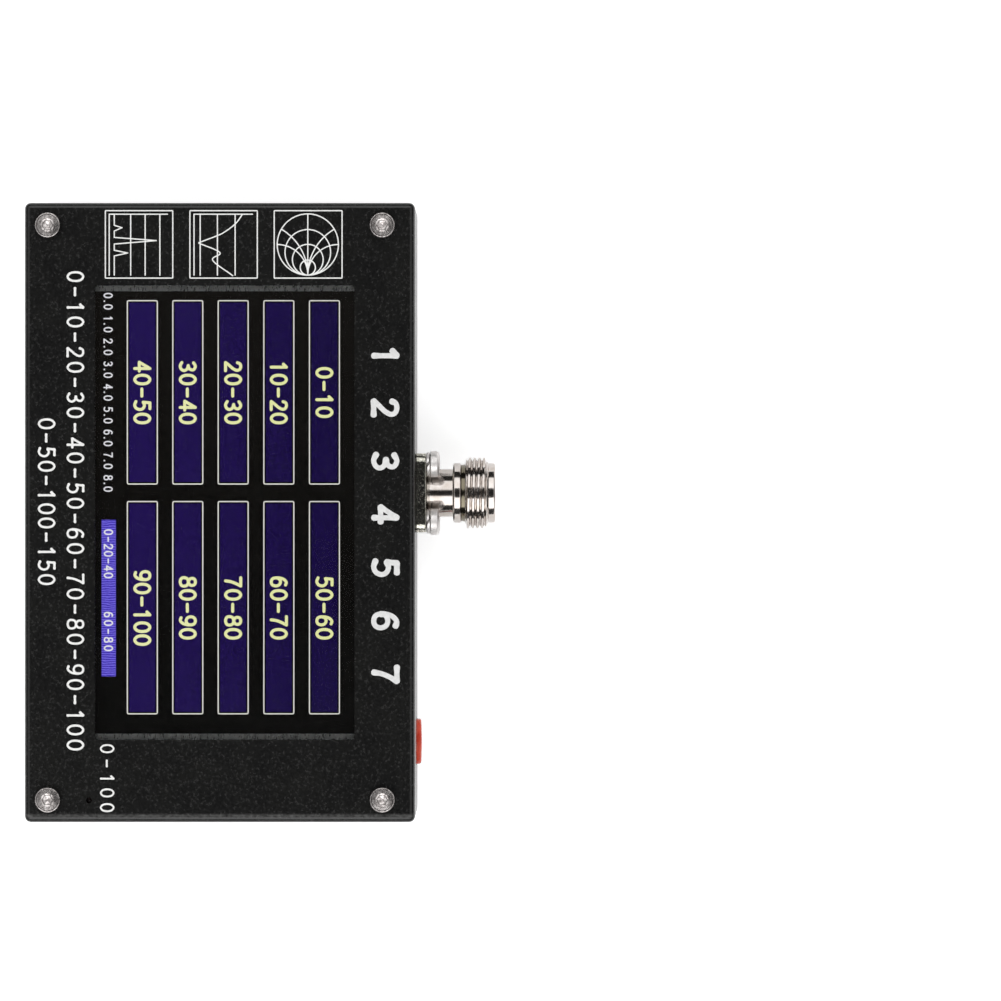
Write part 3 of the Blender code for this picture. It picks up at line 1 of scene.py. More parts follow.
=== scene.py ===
import math
import bmesh
import bpy
import numpy as np
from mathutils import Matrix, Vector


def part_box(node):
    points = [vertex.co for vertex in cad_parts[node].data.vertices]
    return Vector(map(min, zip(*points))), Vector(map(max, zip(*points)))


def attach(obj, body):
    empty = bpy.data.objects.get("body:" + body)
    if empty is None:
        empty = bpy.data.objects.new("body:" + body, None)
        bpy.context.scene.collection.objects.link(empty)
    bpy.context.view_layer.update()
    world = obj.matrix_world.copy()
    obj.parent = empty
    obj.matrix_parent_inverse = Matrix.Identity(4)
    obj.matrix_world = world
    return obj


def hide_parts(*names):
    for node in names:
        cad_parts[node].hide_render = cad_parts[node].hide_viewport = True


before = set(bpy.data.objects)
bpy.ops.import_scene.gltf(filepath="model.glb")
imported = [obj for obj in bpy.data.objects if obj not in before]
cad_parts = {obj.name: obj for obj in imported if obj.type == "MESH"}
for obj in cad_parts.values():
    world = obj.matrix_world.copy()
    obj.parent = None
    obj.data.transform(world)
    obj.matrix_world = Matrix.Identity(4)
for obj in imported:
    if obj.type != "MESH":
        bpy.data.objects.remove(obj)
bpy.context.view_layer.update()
print("frame loaded:", len(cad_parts), "nodes")

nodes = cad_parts
mm = 0.001
fours = (1, 2, 3, 4)  # the numbers of pieces that come in fours


# small tools

def linear(code):
    # an sRGB hex colour as the linear numbers that shaders take
    parts = [int(code[i:i + 2], 16) / 255 for i in (1, 3, 5)]
    return tuple(p / 12.92 if p <= 0.04045 else ((p + 0.055) / 1.055) ** 2.4 for p in parts) + (1.0,)


def put(tree, kind, settings=None, links=None):
    # one node: settings are its own fields or its inputs, links go from another node's socket to an input
    node = tree.nodes.new("ShaderNode" + kind)
    for key, value in (settings or {}).items():
        if isinstance(key, str) and hasattr(node, key):
            setattr(node, key, value)
        else:
            node.inputs[key].default_value = value
    for key, source in (links or {}).items():
        tree.links.new(source, node.inputs[key])
    return node


def maths(tree, operation, *values, clamp=False):
    # one sum of numbers and other nodes' outputs
    settings, links = {"operation": operation, "use_clamp": clamp}, {}
    for key, value in enumerate(values):
        kept = links if isinstance(value, bpy.types.NodeSocket) else settings
        kept[key] = value
    return put(tree, "Math", settings, links).outputs[0]


def ranged(tree, source, ends, results=(0.0, 1.0)):
    # the source's two ends carried to two results, evenly between them and held beyond them
    settings = {1: ends[0], 2: ends[1], 3: results[0], 4: results[1]}
    return put(tree, "MapRange", settings, {0: source}).outputs[0]


def mixed(tree, share, first, second):
    # two tones mixed by a share: each is a hex colour or another node's output
    settings, links = {"data_type": "RGBA"}, {0: share}
    for key, tone in ((6, first), (7, second)):
        if isinstance(tone, str):
            settings[key] = linear(tone)
        else:
            links[key] = tone
    return put(tree, "Mix", settings, links).outputs[2]


def noise(tree, size, detail, place):
    # soft noise with patches about a size in millimetres
    settings = {"Scale": 1 / (size * mm), "Detail": detail}
    return put(tree, "TexNoise", settings, {"Vector": place}).outputs[0]


def blank(name):
    # a new material and its empty tree
    material = bpy.data.materials.new(name)
    material.use_nodes = True
    material.node_tree.nodes.clear()
    return material, material.node_tree


def surface(tree, settings, links):
    # the shader that the material's output shows
    shader = put(tree, "BsdfPrincipled", settings, links)
    put(tree, "OutputMaterial", {}, {"Surface": shader.outputs[0]})


def span(node):
    # a CAD node's box in millimetres: lowest and highest corner
    low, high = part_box(node)
    return np.array(low) / mm, np.array(high) / mm


# finishes

finishBase = {"clouds": (0.35, 0.65), "cloudDetail": 3.0, "grainDetail": 2.0, "speckFull": 0.8,
              "gloss": (0.3, 0.7)}


def paintedLightShare(tree, place, paintedLightBand):
    # how strong a painted band is (painted light or shade on one place): full within a distance of one place
    # along an axis, none past its reach; where asked, it is torn into streaks and only lies above a height
    parts = put(tree, "SeparateXYZ", {}, {0: place})
    away = maths(tree, "ABSOLUTE", maths(tree, "SUBTRACT", parts.outputs[paintedLightBand["axis"]], paintedLightBand["at"] * mm))
    band = ranged(tree, away, (paintedLightBand["full"] * mm, paintedLightBand["reach"] * mm), (1.0, 0.0))
    if "streak" in paintedLightBand:
        drawn = put(tree, "Mapping", {"Scale": paintedLightBand["streak"]}, {"Vector": place}).outputs[0]
        torn = ranged(tree, noise(tree, paintedLightBand["size"], paintedLightBand["detail"], drawn), paintedLightBand["torn"])
        front = ranged(tree, parts.outputs[2], ((paintedLightBand["above"] - paintedLightBand["climb"]) * mm, paintedLightBand["above"] * mm))
        band = maths(tree, "MULTIPLY", band, maths(tree, "MULTIPLY", torn, front))
    return band


def finish(name, colour, shade, patch, grain, rough, relief, more):
    # the common base of all finishes: two tones in cloudy patches, fine grain in tone, gloss and relief
    base = finishBase
    material, tree = blank(name)
    place = put(tree, "TexCoord").outputs["Object"]
    stretch = {"Scale": more.get("stretch", (1, 1, 1))}
    drawn = put(tree, "Mapping", stretch, {"Vector": place}).outputs[0]
    grains = noise(tree, grain, base["grainDetail"], drawn)
    clouds = ranged(tree, noise(tree, patch, base["cloudDetail"], drawn), base["clouds"])
    tone = mixed(tree, clouds, colour, shade)
    if "specks" in more:
        specks = ranged(tree, grains, (more["speckFrom"], base["speckFull"]), (0.0, more["specks"]))
        tone = mixed(tree, specks, tone, more["speck"])
    # the painted band: a tone laid over one place that stands for the light or shade falling there
    if "paintedLightBand" in more:
        tone = mixed(tree, paintedLightShare(tree, place, more["paintedLightBand"]), tone, more["paintedLightBand"]["tone"])
    gloss = ranged(tree, grains, base["gloss"], rough)
    bump = put(tree, "Bump", {"Strength": 1.0, "Distance": relief * mm}, {"Height": grains})
    links = {"Base Color": tone, "Roughness": gloss, "Normal": bump.outputs[0]}
    surface(tree, more.get("shader", {}), links)
    return material


metal = {"shader": {"Metallic": 1.0}}
# each finish: two tones, patch and grain sizes in mm, roughness from and to, relief in mm, and what else
finishLooks = {
    # powder coat on steel sheet: baked polyester powder, finely pimpled, satin black; along one fold a
    # painted highlight, torn into streaks where the coat is rubbed
    "blackPowderCoat": ("#0e0e0e", "#141413", 7.0, 0.6, (0.2, 0.28), 0.034, {
        "speck": "#343433", "specks": 0.7, "speckFrom": 0.56, "shader": {"Specular IOR Level": 0.42},
        # painted highlight: a lighter grey band along the fold near x 66.4 mm, on the front only, in torn
        # streaks
        "paintedLightBand": {"tone": "#5a5a59", "axis": 0, "at": 66.4, "full": 0.1, "reach": 0.6, "above": 25.7,
                  "climb": 0.4, "streak": (1.5, 1.1, 1.0), "size": 1.0, "detail": 2.0, "torn": (0.2, 0.75)}}),
    # stainless steel screws: cold headed, bright, faintly drawn
    "stainlessSteel": ("#cdc8c6", "#8f8987", 0.5, 0.25, (0.13, 0.24), 0.009, metal),
    # nickel plated pan heads and washers: a soft satin grey, a little mottled
    "satinNickel": ("#ebe8e6", "#d6d2d0", 0.9, 0.3, (0.42, 0.56), 0.006, metal),
    # bright nickel plate on turned brass: warm mirror, slightly clouded, with painted shade in the thread's
    # undercut
    "nickelPlate": ("#c6c0bc", "#b5aca5", 2.5, 0.25, (0.08, 0.16), 0.002, {
        # painted shade: a darker olive band round the undercut groove
        **metal, "paintedLightBand": {"tone": "#716b5c", "axis": 1, "at": 53.2, "full": 0.33, "reach": 0.55}}),
    # nickel plate over the flange's milled edges: a mirror broken up by fine tool marks into light specks
    "milledNickel": ("#d2d0c6", "#97958a", 0.9, 0.42, (0.06, 0.18), 0.068, metal),
    # gold flash on the contact: smooth yellow metal
    "goldPlate": ("#e6b34d", "#dba63e", 0.8, 0.15, (0.14, 0.24), 0.001, metal),
    # zinc plated steel pillars and screws: bluish grey, slightly dull
    "zincPlate": ("#b4b8bb", "#a0a5a8", 1.5, 0.2, (0.28, 0.42), 0.004, metal),
    # tinned steel sheet of cans and frames: pale grey, rolled
    "tinnedSteel": ("#c8cacb", "#b6b9bb", 3.0, 0.3, (0.24, 0.36), 0.004, {**metal, "stretch": (0.3, 1, 1)}),
    # closed cell foam: matt black with open pores, painted darker still as the shade along the window's edge
    "blackFoamPaintedShade": ("#0a0a0a", "#0f0f0f", 1.2, 0.3, (0.85, 0.95), 0.06, {
        "shader": {"Specular IOR Level": 0.15}}),
    # moulded ABS, black: fine spark texture
    "blackAbs": ("#19191a", "#1e1e1f", 4.0, 0.3, (0.42, 0.52), 0.006, {}),
    # moulded nylon, natural white
    "whiteNylon": ("#e4e1d8", "#dad6ca", 3.0, 0.3, (0.36, 0.46), 0.004, {
        "shader": {"Subsurface Weight": 0.15, "Subsurface Scale": 0.001}}),
    # polycarbonate cap, clear red: glossy, lets light in
    "redPolycarbonate": ("#ef6c57", "#da4c38", 2.0, 0.4, (0.12, 0.18), 0.002, {
        "shader": {"Subsurface Weight": 0.5, "Subsurface Scale": 0.002, "Subsurface Radius": (1.0, 0.25, 0.2),
                   "Coat Weight": 0.3}}),
    # PTFE insulator: waxy white
    "whitePtfe": ("#eceae4", "#e4e1d9", 1.5, 0.3, (0.3, 0.4), 0.003, {
        "shader": {"Subsurface Weight": 0.2, "Subsurface Scale": 0.001}}),
    # printed circuit board: green solder mask over copper, woven glass below
    "greenSolderMask": ("#14502c", "#1b5e35", 2.2, 0.25, (0.3, 0.4), 0.004, {"shader": {"Coat Weight": 0.2}}),
    # polyimide film of the display's ribbon: amber, smooth, over copper tracks
    "amberFilm": ("#b5721a", "#a26312", 5.0, 0.5, (0.2, 0.3), 0.006, {"shader": {"Coat Weight": 0.5}}),
    # aluminium laminate pouch of the battery: silver, softly wrinkled
    "silverFoil": ("#bfc2c4", "#adb1b4", 6.0, 1.4, (0.22, 0.34), 0.05, metal),
    # epoxy body of a light emitting diode, red tinted, painted nearly black as the shade of the hole it sits
    # in
    "redEpoxyPaintedShade": ("#1e0a09", "#170807", 1.0, 0.3, (0.1, 0.16), 0.001, {
        "shader": {"Subsurface Weight": 0.4, "Subsurface Scale": 0.001}}),
    # PVC insulation of the battery's two wires
    "redPvc": ("#b3211b", "#a51c17", 1.5, 0.25, (0.3, 0.4), 0.003, {}),
    "blackPvc": ("#1a1a1a", "#202020", 1.5, 0.25, (0.3, 0.4), 0.003, {}),
    # screen printing ink, white: thin, matt, a little uneven
    "whiteInk": ("#f6f6f4", "#ececea", 0.8, 0.15, (0.55, 0.7), 0.003, {}),
    # the title's ink: the same, mixed a little greyer
    "greyInk": ("#e8e8e7", "#dadad9", 0.8, 0.15, (0.55, 0.7), 0.003, {}),
}
made = {name: finish(name, *look) for name, look in finishLooks.items()}

# display patches: the pixels' grain, how much one side is darker, and the fine lines of the bar
litLook = {"pixel": 0.4, "detail": 1.0, "grain": (0.32, 0.68), "fall": 0.45, "base": "#050505", "rough": 0.5,
           "shine": 0.05, "lineWobble": 4.0, "lineDetail": 3.0, "lineShare": 0.3}
bandRate = 20 / (2 * math.pi)  # bands that the wave node draws in one unit of length


def lit(name, code, shadeCode, side=1, reach=(-20, 30), lines=0.0):
    # a lit patch of the display: glows in its own colour, a little less to one side, with a fine pixel grain
    # and, where asked, with fine lines across
    look = litLook
    material, tree = blank(name)
    place = put(tree, "TexCoord").outputs["Object"]
    pixels = noise(tree, look["pixel"], look["detail"], place)
    parts = put(tree, "SeparateXYZ", {}, {0: place})
    across = ranged(tree, parts.outputs[side], (reach[0] * mm, reach[1] * mm), (-look["fall"], look["fall"]))
    share = maths(tree, "ADD", ranged(tree, pixels, look["grain"]), across, clamp=True)
    if lines:
        bands = {"Scale": 1 / (bandRate * lines * mm), "Distortion": look["lineWobble"],
                 "Detail": look["lineDetail"]}
        wave = put(tree, "TexWave", bands, {"Vector": place})
        share = maths(tree, "MULTIPLY_ADD", share, look["lineShare"], wave.outputs[0], clamp=True)
    surface(tree, {"Base Color": linear(look["base"]), "Roughness": look["rough"],
                   "Specular IOR Level": look["shine"], "Emission Strength": 1.0},
            {"Emission Color": mixed(tree, share, code, shadeCode)})
    return material


for name, code, shadeCode, more in (("litViolet", "#221258", "#12063a", {}),
                                    ("litBlue", "#8274f4", "#3527b0", {"lines": 0.5}),
                                    ("lcdBlack", "#110f0d", "#030303", {"side": 0, "reach": (-50, 50)}),
                                    ("litOutline", "#fbfaf4", "#ecebe8", {}),
                                    ("litYellow", "#f8fac0", "#eff3ac", {}),
                                    ("litWhite", "#f2f2f9", "#e4e4ef", {})):
    made[name] = lit(name, code, shadeCode, **more)

glassLook = {"smear": 22, "detail": 4.0, "smeared": (0.4, 0.7), "rough": (0.03, 0.07), "tint": "#f4f4f2",
             "ior": 1.5}


def clearGlass():
    # tempered touch glass: clear, very slightly grey, polished, with faint smears
    look = glassLook
    material, tree = blank("touchGlass")
    place = put(tree, "TexCoord").outputs["Object"]
    gloss = ranged(tree, noise(tree, look["smear"], look["detail"], place), look["smeared"], look["rough"])
    surface(tree, {"Base Color": linear(look["tint"]), "IOR": look["ior"], "Transmission Weight": 1.0},
            {"Roughness": gloss})
    return material


made["touchGlass"] = clearGlass()
print("finishes made:", len(made))


# shapes

seam = 0.0004  # points of a new piece nearer to each other than this, in millimetres, become one
cadSeam = 0.001  # the same for copies of the CAD's own points


def shaped(name, points, faces, material, slot, body="housing", replaced=(), smoothTo=35):
    # one finished piece from points in millimetres, riding on its body
    mesh = bpy.data.meshes.new(name)
    mesh.from_pydata((np.asarray(points, float) * mm).tolist(), [], faces)
    mesh.validate()
    form = bmesh.new()
    form.from_mesh(mesh)
    bmesh.ops.remove_doubles(form, verts=form.verts, dist=seam * mm)
    bmesh.ops.recalc_face_normals(form, faces=form.faces)
    form.to_mesh(mesh)
    form.free()
    mesh.shade_smooth()
    mesh.set_sharp_from_angle(angle=math.radians(smoothTo))
    mesh.materials.append(made[material])
    piece = bpy.data.objects.new(name, mesh)
    bpy.context.scene.collection.objects.link(piece)
    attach(piece, body)
    if replaced:
        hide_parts(*replaced)
    return piece


def woven(grids):
    # several grids of points (rows, columns, 3) as one list of points and faces; columns always wrap round,
    # rows wrap too where the grid says so, and otherwise both ends close in a fan
    points, faces, base = [], [], 0
    for grid, wraps in grids:
        rows, columns = grid.shape[:2]
        index = np.arange(rows * columns).reshape(rows, columns) + base
        lower = index if wraps else index[:-1]
        upper = np.roll(index, -1, 0) if wraps else index[1:]
        quads = np.stack([lower, np.roll(lower, -1, 1), np.roll(upper, -1, 1), upper], -1).reshape(-1, 4)
        faces += quads.tolist()
        points.append(grid.reshape(-1, 3))
        base += rows * columns
        if not wraps:
            points.append(np.stack([grid[0].mean(0), grid[-1].mean(0)]))
            first = np.stack([np.roll(index[0], -1), index[0], np.full(columns, base)], -1)
            last = np.stack([index[-1], np.roll(index[-1], -1), np.full(columns, base + 1)], -1)
            faces += first.tolist() + last.tolist()
            base += 2
    return np.concatenate(points), faces


def cornered(reach, bend, steps):
    # a closed outline about the middle: a quarter circle of radius bend at each corner (+-reachX, +-reachY)
    turn = np.radians(np.linspace(0, 90, steps))
    quarters = []
    for signX, signY, start in ((1, 1, 0), (-1, 1, 90), (-1, -1, 180), (1, -1, 270)):
        spun = turn + math.radians(start)
        lineX = signX * reach[0] + bend * np.cos(spun)
        lineY = signY * reach[1] + bend * np.sin(spun)
        quarters.append(np.stack([lineX, lineY], -1))
    return np.concatenate(quarters)


def pointsAndFaces(form):
    # a mesh form's points in millimetres and its faces, for a piece of its own; the form is freed
    form.verts.index_update()
    points = np.array([v.co[:] for v in form.verts]) / mm
    faces = [[v.index for v in f.verts] for f in form.faces]
    form.free()
    return points, faces


def softEdges(piece, wide, steps, fromAngle):
    # a bevel along the sharp edges, and light that keeps the flat faces even
    edge = piece.modifiers.new("softEdge", "BEVEL")
    edge.width = wide * mm
    edge.segments = steps
    edge.limit_method = "ANGLE"
    edge.angle_limit = math.radians(fromAngle)
    edge.harden_normals = False
    piece.modifiers.new("evenLight", "WEIGHTED_NORMAL").keep_sharp = True


def refined(node, name, look, material, slot):
    # the CAD solid's own mesh, merged, with its flat faces whole again and its edges softened
    form = bmesh.new()
    form.from_mesh(nodes[node].data)
    bmesh.ops.remove_doubles(form, verts=form.verts, dist=cadSeam * mm)
    flatTo = math.radians(look["flat"])
    bmesh.ops.dissolve_limit(form, angle_limit=flatTo, verts=form.verts, edges=form.edges)
    piece = shaped(name, *pointsAndFaces(form), material, slot, replaced=(node,), smoothTo=look["sharp"])
    softEdges(piece, look["edge"], look["steps"], look["sharp"])


caseLook = {"flat": 0.3, "sharp": 35, "edge": 0.12, "steps": 2}
coverLook = {**caseLook, "edge": 0.15}
refined("case_body", "caseShell", caseLook, "blackPowderCoat", "black_powder_coat")
refined("back_cover", "backPanel", coverLook, "blackPowderCoat", "black_powder_coat")

capLook = {"corner": 0.6, "leastCorner": 0.02, "cornerSteps": 7, "sideSteps": 6, "sharp": 60,
           "back": 0.2, "backTurns": (0, 30, 60, 90), "sideRows": (0.3, 0.6, 0.85),
           "round": 0.42, "roundFrom": 10, "roundRows": 7, "faceFrom": 0.95, "faceTo": 0.1, "faceRows": 12,
           "crownLong": 0.16, "crownTall": 0.06}


def pushCap():
    # the outline of a rounded rectangle carried from the back to the face: along the sides it keeps its size,
    # at the face's edge a quarter circle draws it in, and over the crowned face it shrinks to the middle, the
    # height falling with the squares of the distances from the middle
    look = capLook
    low, high = span("button_cap")
    middle, half, deep = (low + high) / 2, (high - low) / 2, high[1] - low[1]

    def ring(inset):
        # the outline drawn in by an inset, its corners' centres staying in place, its sides in even steps
        bend = max(look["corner"] - inset, look["leastCorner"])
        flat = cornered(half[[0, 2]] - inset - bend, bend, look["cornerSteps"])
        ahead = np.roll(flat, -1, 0)
        share = np.linspace(0, 1, look["sideSteps"], endpoint=False)[None, :, None]
        return (flat[:, None] * (1 - share) + ahead[:, None] * share).reshape(-1, 2)

    back, lift = look["back"], look["round"]
    rows = [(ring(back * (1 - math.sin(a))), low[1] + back * (1 - math.cos(a)))
            for a in np.radians(look["backTurns"])]
    rows += [(ring(0.0), low[1] + deep * s) for s in look["sideRows"]]
    rows += [(ring(lift * (1 - math.cos(a))), high[1] - lift + lift * math.sin(a))
             for a in np.radians(np.linspace(look["roundFrom"], 90, look["roundRows"]))]
    inner = ring(lift)
    rows += [(inner * s, high[1]) for s in np.linspace(look["faceFrom"], look["faceTo"], look["faceRows"])]
    grid = []
    for flat, y in rows:
        x, z = flat.T
        fall = look["crownLong"] * (x / half[0]) ** 2 + look["crownTall"] * (z / half[2]) ** 2
        fall = fall * np.clip((y - low[1]) / deep * 2 - 1, 0, 1)  # only in the front half
        grid.append(np.stack([middle[0] + x, y - fall, middle[2] + z], -1))
    shaped("buttonCap", *woven([(np.stack(grid), False)]), "redPolycarbonate", "red_plastic", "power_button",
           ("button_cap",), look["sharp"])


pushCap()
print("case, back panel and button cap made")


# printing: strokes, figures and icons

def curved(points, closed=False, share=10):
    # a smooth path through the given points: between the middle two of each four neighbours a, b, c, d it is
    # the cubic (2b + (c - a)t + (2a - 5b + 4c - d)t*t + (3b - a - 3c + d)t*t*t) / 2
    points = np.asarray(points, float)
    if closed:
        ring = np.concatenate([points[-1:], points, points[:2]])
    else:
        ring = np.concatenate([2 * points[:1] - points[1:2], points, 2 * points[-1:] - points[-2:-1]])
    t = np.linspace(0, 1, share, endpoint=False)[None, :, None]
    a, b, c, d = (ring[k:len(ring) - 3 + k, None, :] for k in range(4))
    bent = (2 * a - 5 * b + 4 * c - d) * t ** 2 + (3 * b - a - 3 * c + d) * t ** 3
    path = (0.5 * (2 * b + (c - a) * t + bent)).reshape(-1, 2)
    return path if closed else np.concatenate([path, points[-1:]])


# shares of a stroke's half width: its steps, the swelling near its ends, and the distance its direction is
# read over; then the turns of its round ends, and its section, across and up
strokeLook = {"step": 0.6, "swell": 1.6, "ahead": 0.02, "ends": (12, 35, 60),
              "section": ((-1, 0), (-0.97, 0.6), (-0.86, 1), (0.86, 1), (0.97, 0.6), (1, 0))}


def stroke(path, radius, z, height, closed=False, bulge=0.0):
    # a ribbon carried along a path: half width r in the middle and sqrt(r*r - d*d) at d past an end,
    # its section flat below and rounded at its two upper edges
    look = strokeLook
    path = np.asarray(path, float)
    if closed:
        path = np.concatenate([path, path[:1]])
    run = np.concatenate([[0], np.cumsum(np.hypot(*np.diff(path, axis=0).T))])
    length = run[-1]
    straight = len(path) == 2 and not bulge
    count = 2 if straight else max(2, int(np.ceil(length / (look["step"] * radius))) + 1)
    middle = np.linspace(0, length, count)
    if closed:
        at, width = middle[:-1], np.full(len(middle) - 1, radius)
    else:
        turn = np.radians(look["ends"])
        at = np.concatenate([-radius * np.cos(turn), middle, length + radius * np.cos(turn[::-1])])
        near, far = middle / (look["swell"] * radius), (length - middle) / (look["swell"] * radius)
        swell = 1 + bulge * (np.exp(-near ** 2) + np.exp(-far ** 2))
        cap = radius * (1 + bulge) * np.sin(turn)
        width = np.concatenate([cap, radius * swell, cap[::-1]])

    def along(distance):
        return np.stack([np.interp(distance, run, path[:, k]) for k in (0, 1)], -1)

    inside = np.clip(at, 0, length)
    step = look["ahead"] * radius
    behind = along(np.clip(inside - step, 0, length))
    if closed:
        behind[0] = along(np.array([length - step]))[0]
    ahead = along(np.clip(inside + step, 0, length)) - behind
    ahead /= np.linalg.norm(ahead, axis=1, keepdims=True)
    centre = along(inside) + ahead * (at - inside)[:, None]
    across = np.stack([-ahead[:, 1], ahead[:, 0]], -1)
    section = np.array(look["section"])
    flat = centre[:, None, :] + across[:, None, :] * (width[:, None] * section[:, 0])[..., None]
    level = np.broadcast_to(z + height * section[:, 1], flat.shape[:2])
    return np.concatenate([flat, level[..., None]], -1), closed


# figures drawn in a box one unit high: a path of two points is straight, a longer one is curved
# through its points, and one that ends where it starts is a ring
figures = {
    "0": [[(0.32, 1.0), (0.1, 0.84), (0.03, 0.5), (0.1, 0.16), (0.32, 0.0), (0.54, 0.16), (0.61, 0.5),
           (0.54, 0.84), (0.32, 1.0)]],
    "1": [[(0.16, 0.8), (0.36, 1.0)], [(0.36, 1.0), (0.36, 0.0)]],
    "2": [[(0.06, 0.78), (0.14, 0.95), (0.33, 1.0), (0.52, 0.92), (0.57, 0.73), (0.45, 0.48), (0.22, 0.22),
           (0.05, 0.0)],
          [(0.05, 0.0), (0.6, 0.0)]],
    "3": [[(0.07, 0.88), (0.3, 1.0), (0.51, 0.9), (0.54, 0.73), (0.43, 0.58), (0.25, 0.53)],
          [(0.25, 0.53), (0.48, 0.46), (0.59, 0.27), (0.5, 0.08), (0.28, 0.0), (0.05, 0.11)]],
    "4": [[(0.45, 0.0), (0.45, 1.0)], [(0.45, 1.0), (0.03, 0.3)], [(0.03, 0.3), (0.62, 0.3)]],
    "5": [[(0.53, 1.0), (0.14, 1.0)], [(0.14, 1.0), (0.1, 0.56)],
          [(0.1, 0.56), (0.31, 0.64), (0.52, 0.54), (0.59, 0.32), (0.49, 0.09), (0.28, 0.0), (0.05, 0.08)]],
    "6": [[(0.53, 0.94), (0.34, 0.99), (0.15, 0.82), (0.06, 0.55), (0.05, 0.3)],
          [(0.32, 0.61), (0.12, 0.52), (0.05, 0.3), (0.12, 0.08), (0.32, 0.0), (0.52, 0.08), (0.59, 0.3),
           (0.52, 0.52), (0.32, 0.61)]],
    "7": [[(0.04, 1.0), (0.6, 1.0)], [(0.6, 1.0), (0.44, 0.7), (0.31, 0.36), (0.25, 0.0)]],
    "8": [[(0.32, 1.0), (0.12, 0.92), (0.1, 0.68), (0.32, 0.54), (0.54, 0.68), (0.52, 0.92), (0.32, 1.0)],
          [(0.32, 0.54), (0.08, 0.43), (0.06, 0.12), (0.32, 0.0), (0.58, 0.12), (0.56, 0.43), (0.32, 0.54)]],
    "9": [[(0.32, 1.0), (0.12, 0.92), (0.05, 0.7), (0.12, 0.48), (0.32, 0.39), (0.52, 0.48), (0.59, 0.7),
           (0.52, 0.92), (0.32, 1.0)],
          [(0.59, 0.7), (0.58, 0.45), (0.49, 0.18), (0.3, 0.01), (0.11, 0.06)]],
    "-": [[(0.08, 0.47), (0.56, 0.47)]],
    ".": [[(0.3, 0.03), (0.32, 0.03)]],
}
# the figures' own width in that box; shares of the stroke's half width for their inset, shift and dot; the
# small climb from stroke to stroke, a share of the thickness, so that no two upper faces fall together
figureLook = {"wide": 0.64, "inset": 0.6, "shift": 0.5, "dot": 1.25, "climb": 0.04, "climbs": 9}


def written(text, look):
    # the text's figures as strokes, spread evenly from one end of its line to the other, each a little higher
    radius, wide, left, right = look["radius"], look["wide"], *look["x"]
    inner = look["tall"] - 2 * radius
    pitch = (right - left - wide) / max(1, len(text) - 1)
    grids, count = [], 0
    for place, letter in enumerate(text):
        for points in figures.get(letter, []):
            closed = points[0] == points[-1]
            path = np.array(points[:-1] if closed else points)
            path = path * (wide / figureLook["wide"] - 2 * radius * figureLook["inset"], inner)
            path = path + (left + place * pitch + radius * figureLook["shift"], look["y"] + radius)
            if len(points) > 2:
                path = curved(path, closed)
            rise = look["z"] + look["thick"] * figureLook["climb"] * (count % figureLook["climbs"])
            dot = figureLook["dot"] if letter == "." else 1.0
            grids.append(stroke(path, radius * dot, rise, look["thick"], closed, look.get("bulge", 0.0)))
            count += 1
    return grids


ink = {"z": 25.996, "thick": 0.03}  # the face is at 26 mm
fineInk = {**ink, "finish": "whiteInk", "radius": 0.245, "tall": 3.9, "wide": 2.3, "bulge": 0.2}
printing = {
    "titleFigures": {**ink, "finish": "greyInk", "text": "1234567", "x": (-36.6, 37.3), "y": 33.15,
                     "tall": 6.2, "radius": 0.56, "wide": 4.0, "bulge": 0.22},
    "scaleFigures": {**fineInk, "text": "0-10-20-30-40-50-60-70-80-90-100", "x": (-52.8, 52.0), "y": -33.5},
    "rangeFigures": {**fineInk, "text": "0-50-100-150", "x": (-20.6, 15.8), "y": -39.8},
    "lampFigures": {**ink, "finish": "whiteInk", "text": "0-100", "x": (50.7, 65.5), "y": -26.2,
                    "tall": 3.2, "radius": 0.2, "wide": 1.9, "bulge": 0.15},
}
for name, look in printing.items():
    shaped(name, *woven(written(look["text"], look)), look["finish"], "white_plastic")

# three small graphs, each in a square frame: peaks over a grid, a dipping curve, a circle chart
iconLook = {**ink, "radius": 0.132, "left": -66.05, "side": 14.75, "corner": 0.12, "cornerSteps": 6,
            "climb": 0.0012, "climbs": 12, "ringsFrom": 14}


def icon(name, graph, lines, rings=()):
    # the frame, lines and rings, given in millimetres from the frame's corner, each at a height of its own
    look, corner = iconLook, iconLook["corner"]
    half = np.array([look["side"], graph["tall"]]) / 2
    parts = [(cornered(half - corner, corner, look["cornerSteps"]) + half, 0, True)]
    parts += [(path, count % look["climbs"] + 1, False) for count, path in enumerate(lines)]
    parts += [(path, count + look["ringsFrom"], True) for count, path in enumerate(rings)]
    grids = []
    for path, level, closed in parts:
        placed = np.array(path) + (look["left"], graph["low"])
        grids.append(stroke(placed, look["radius"], look["z"] + look["climb"] * level, look["thick"], closed))
    shaped(name, *woven(grids), "whiteInk", "white_plastic")


graphLook = {"tall": 14.75, "gridFrom": 0.85, "gridTo": 14.1}
peakLook = {**graphLook, "low": -25.0, "grid": (5.54, 8.71, 11.93),
            "axes": [[(0.77, 0.85), (0.77, 13.6)], [(0.77, 0.85), (14.1, 0.85)]],
            "path": [(0.77, 1.95), (3.2, 1.95), (3.72, 3.65), (4.45, 1.95), (5.85, 1.95), (6.54, 11.15),
                     (7.3, 1.95), (8.65, 1.95), (9.26, 4.88), (9.9, 1.95), (14.1, 1.95)]}
dipLook = {**graphLook, "low": -6.5, "grid": (2.25, 6.02, 9.9),
           "axes": [[(0.77, 0.9), (0.77, 13.7)], [(0.77, 0.9), (14.1, 0.9)]],
           "curves": ([(0.81, 11.5), (2.84, 9.98), (4.62, 7.66), (5.45, 6.02), (7.0, 1.95)],
                      [(7.1, 1.95), (9.17, 6.58), (10.85, 4.99), (14.22, 9.37)])}
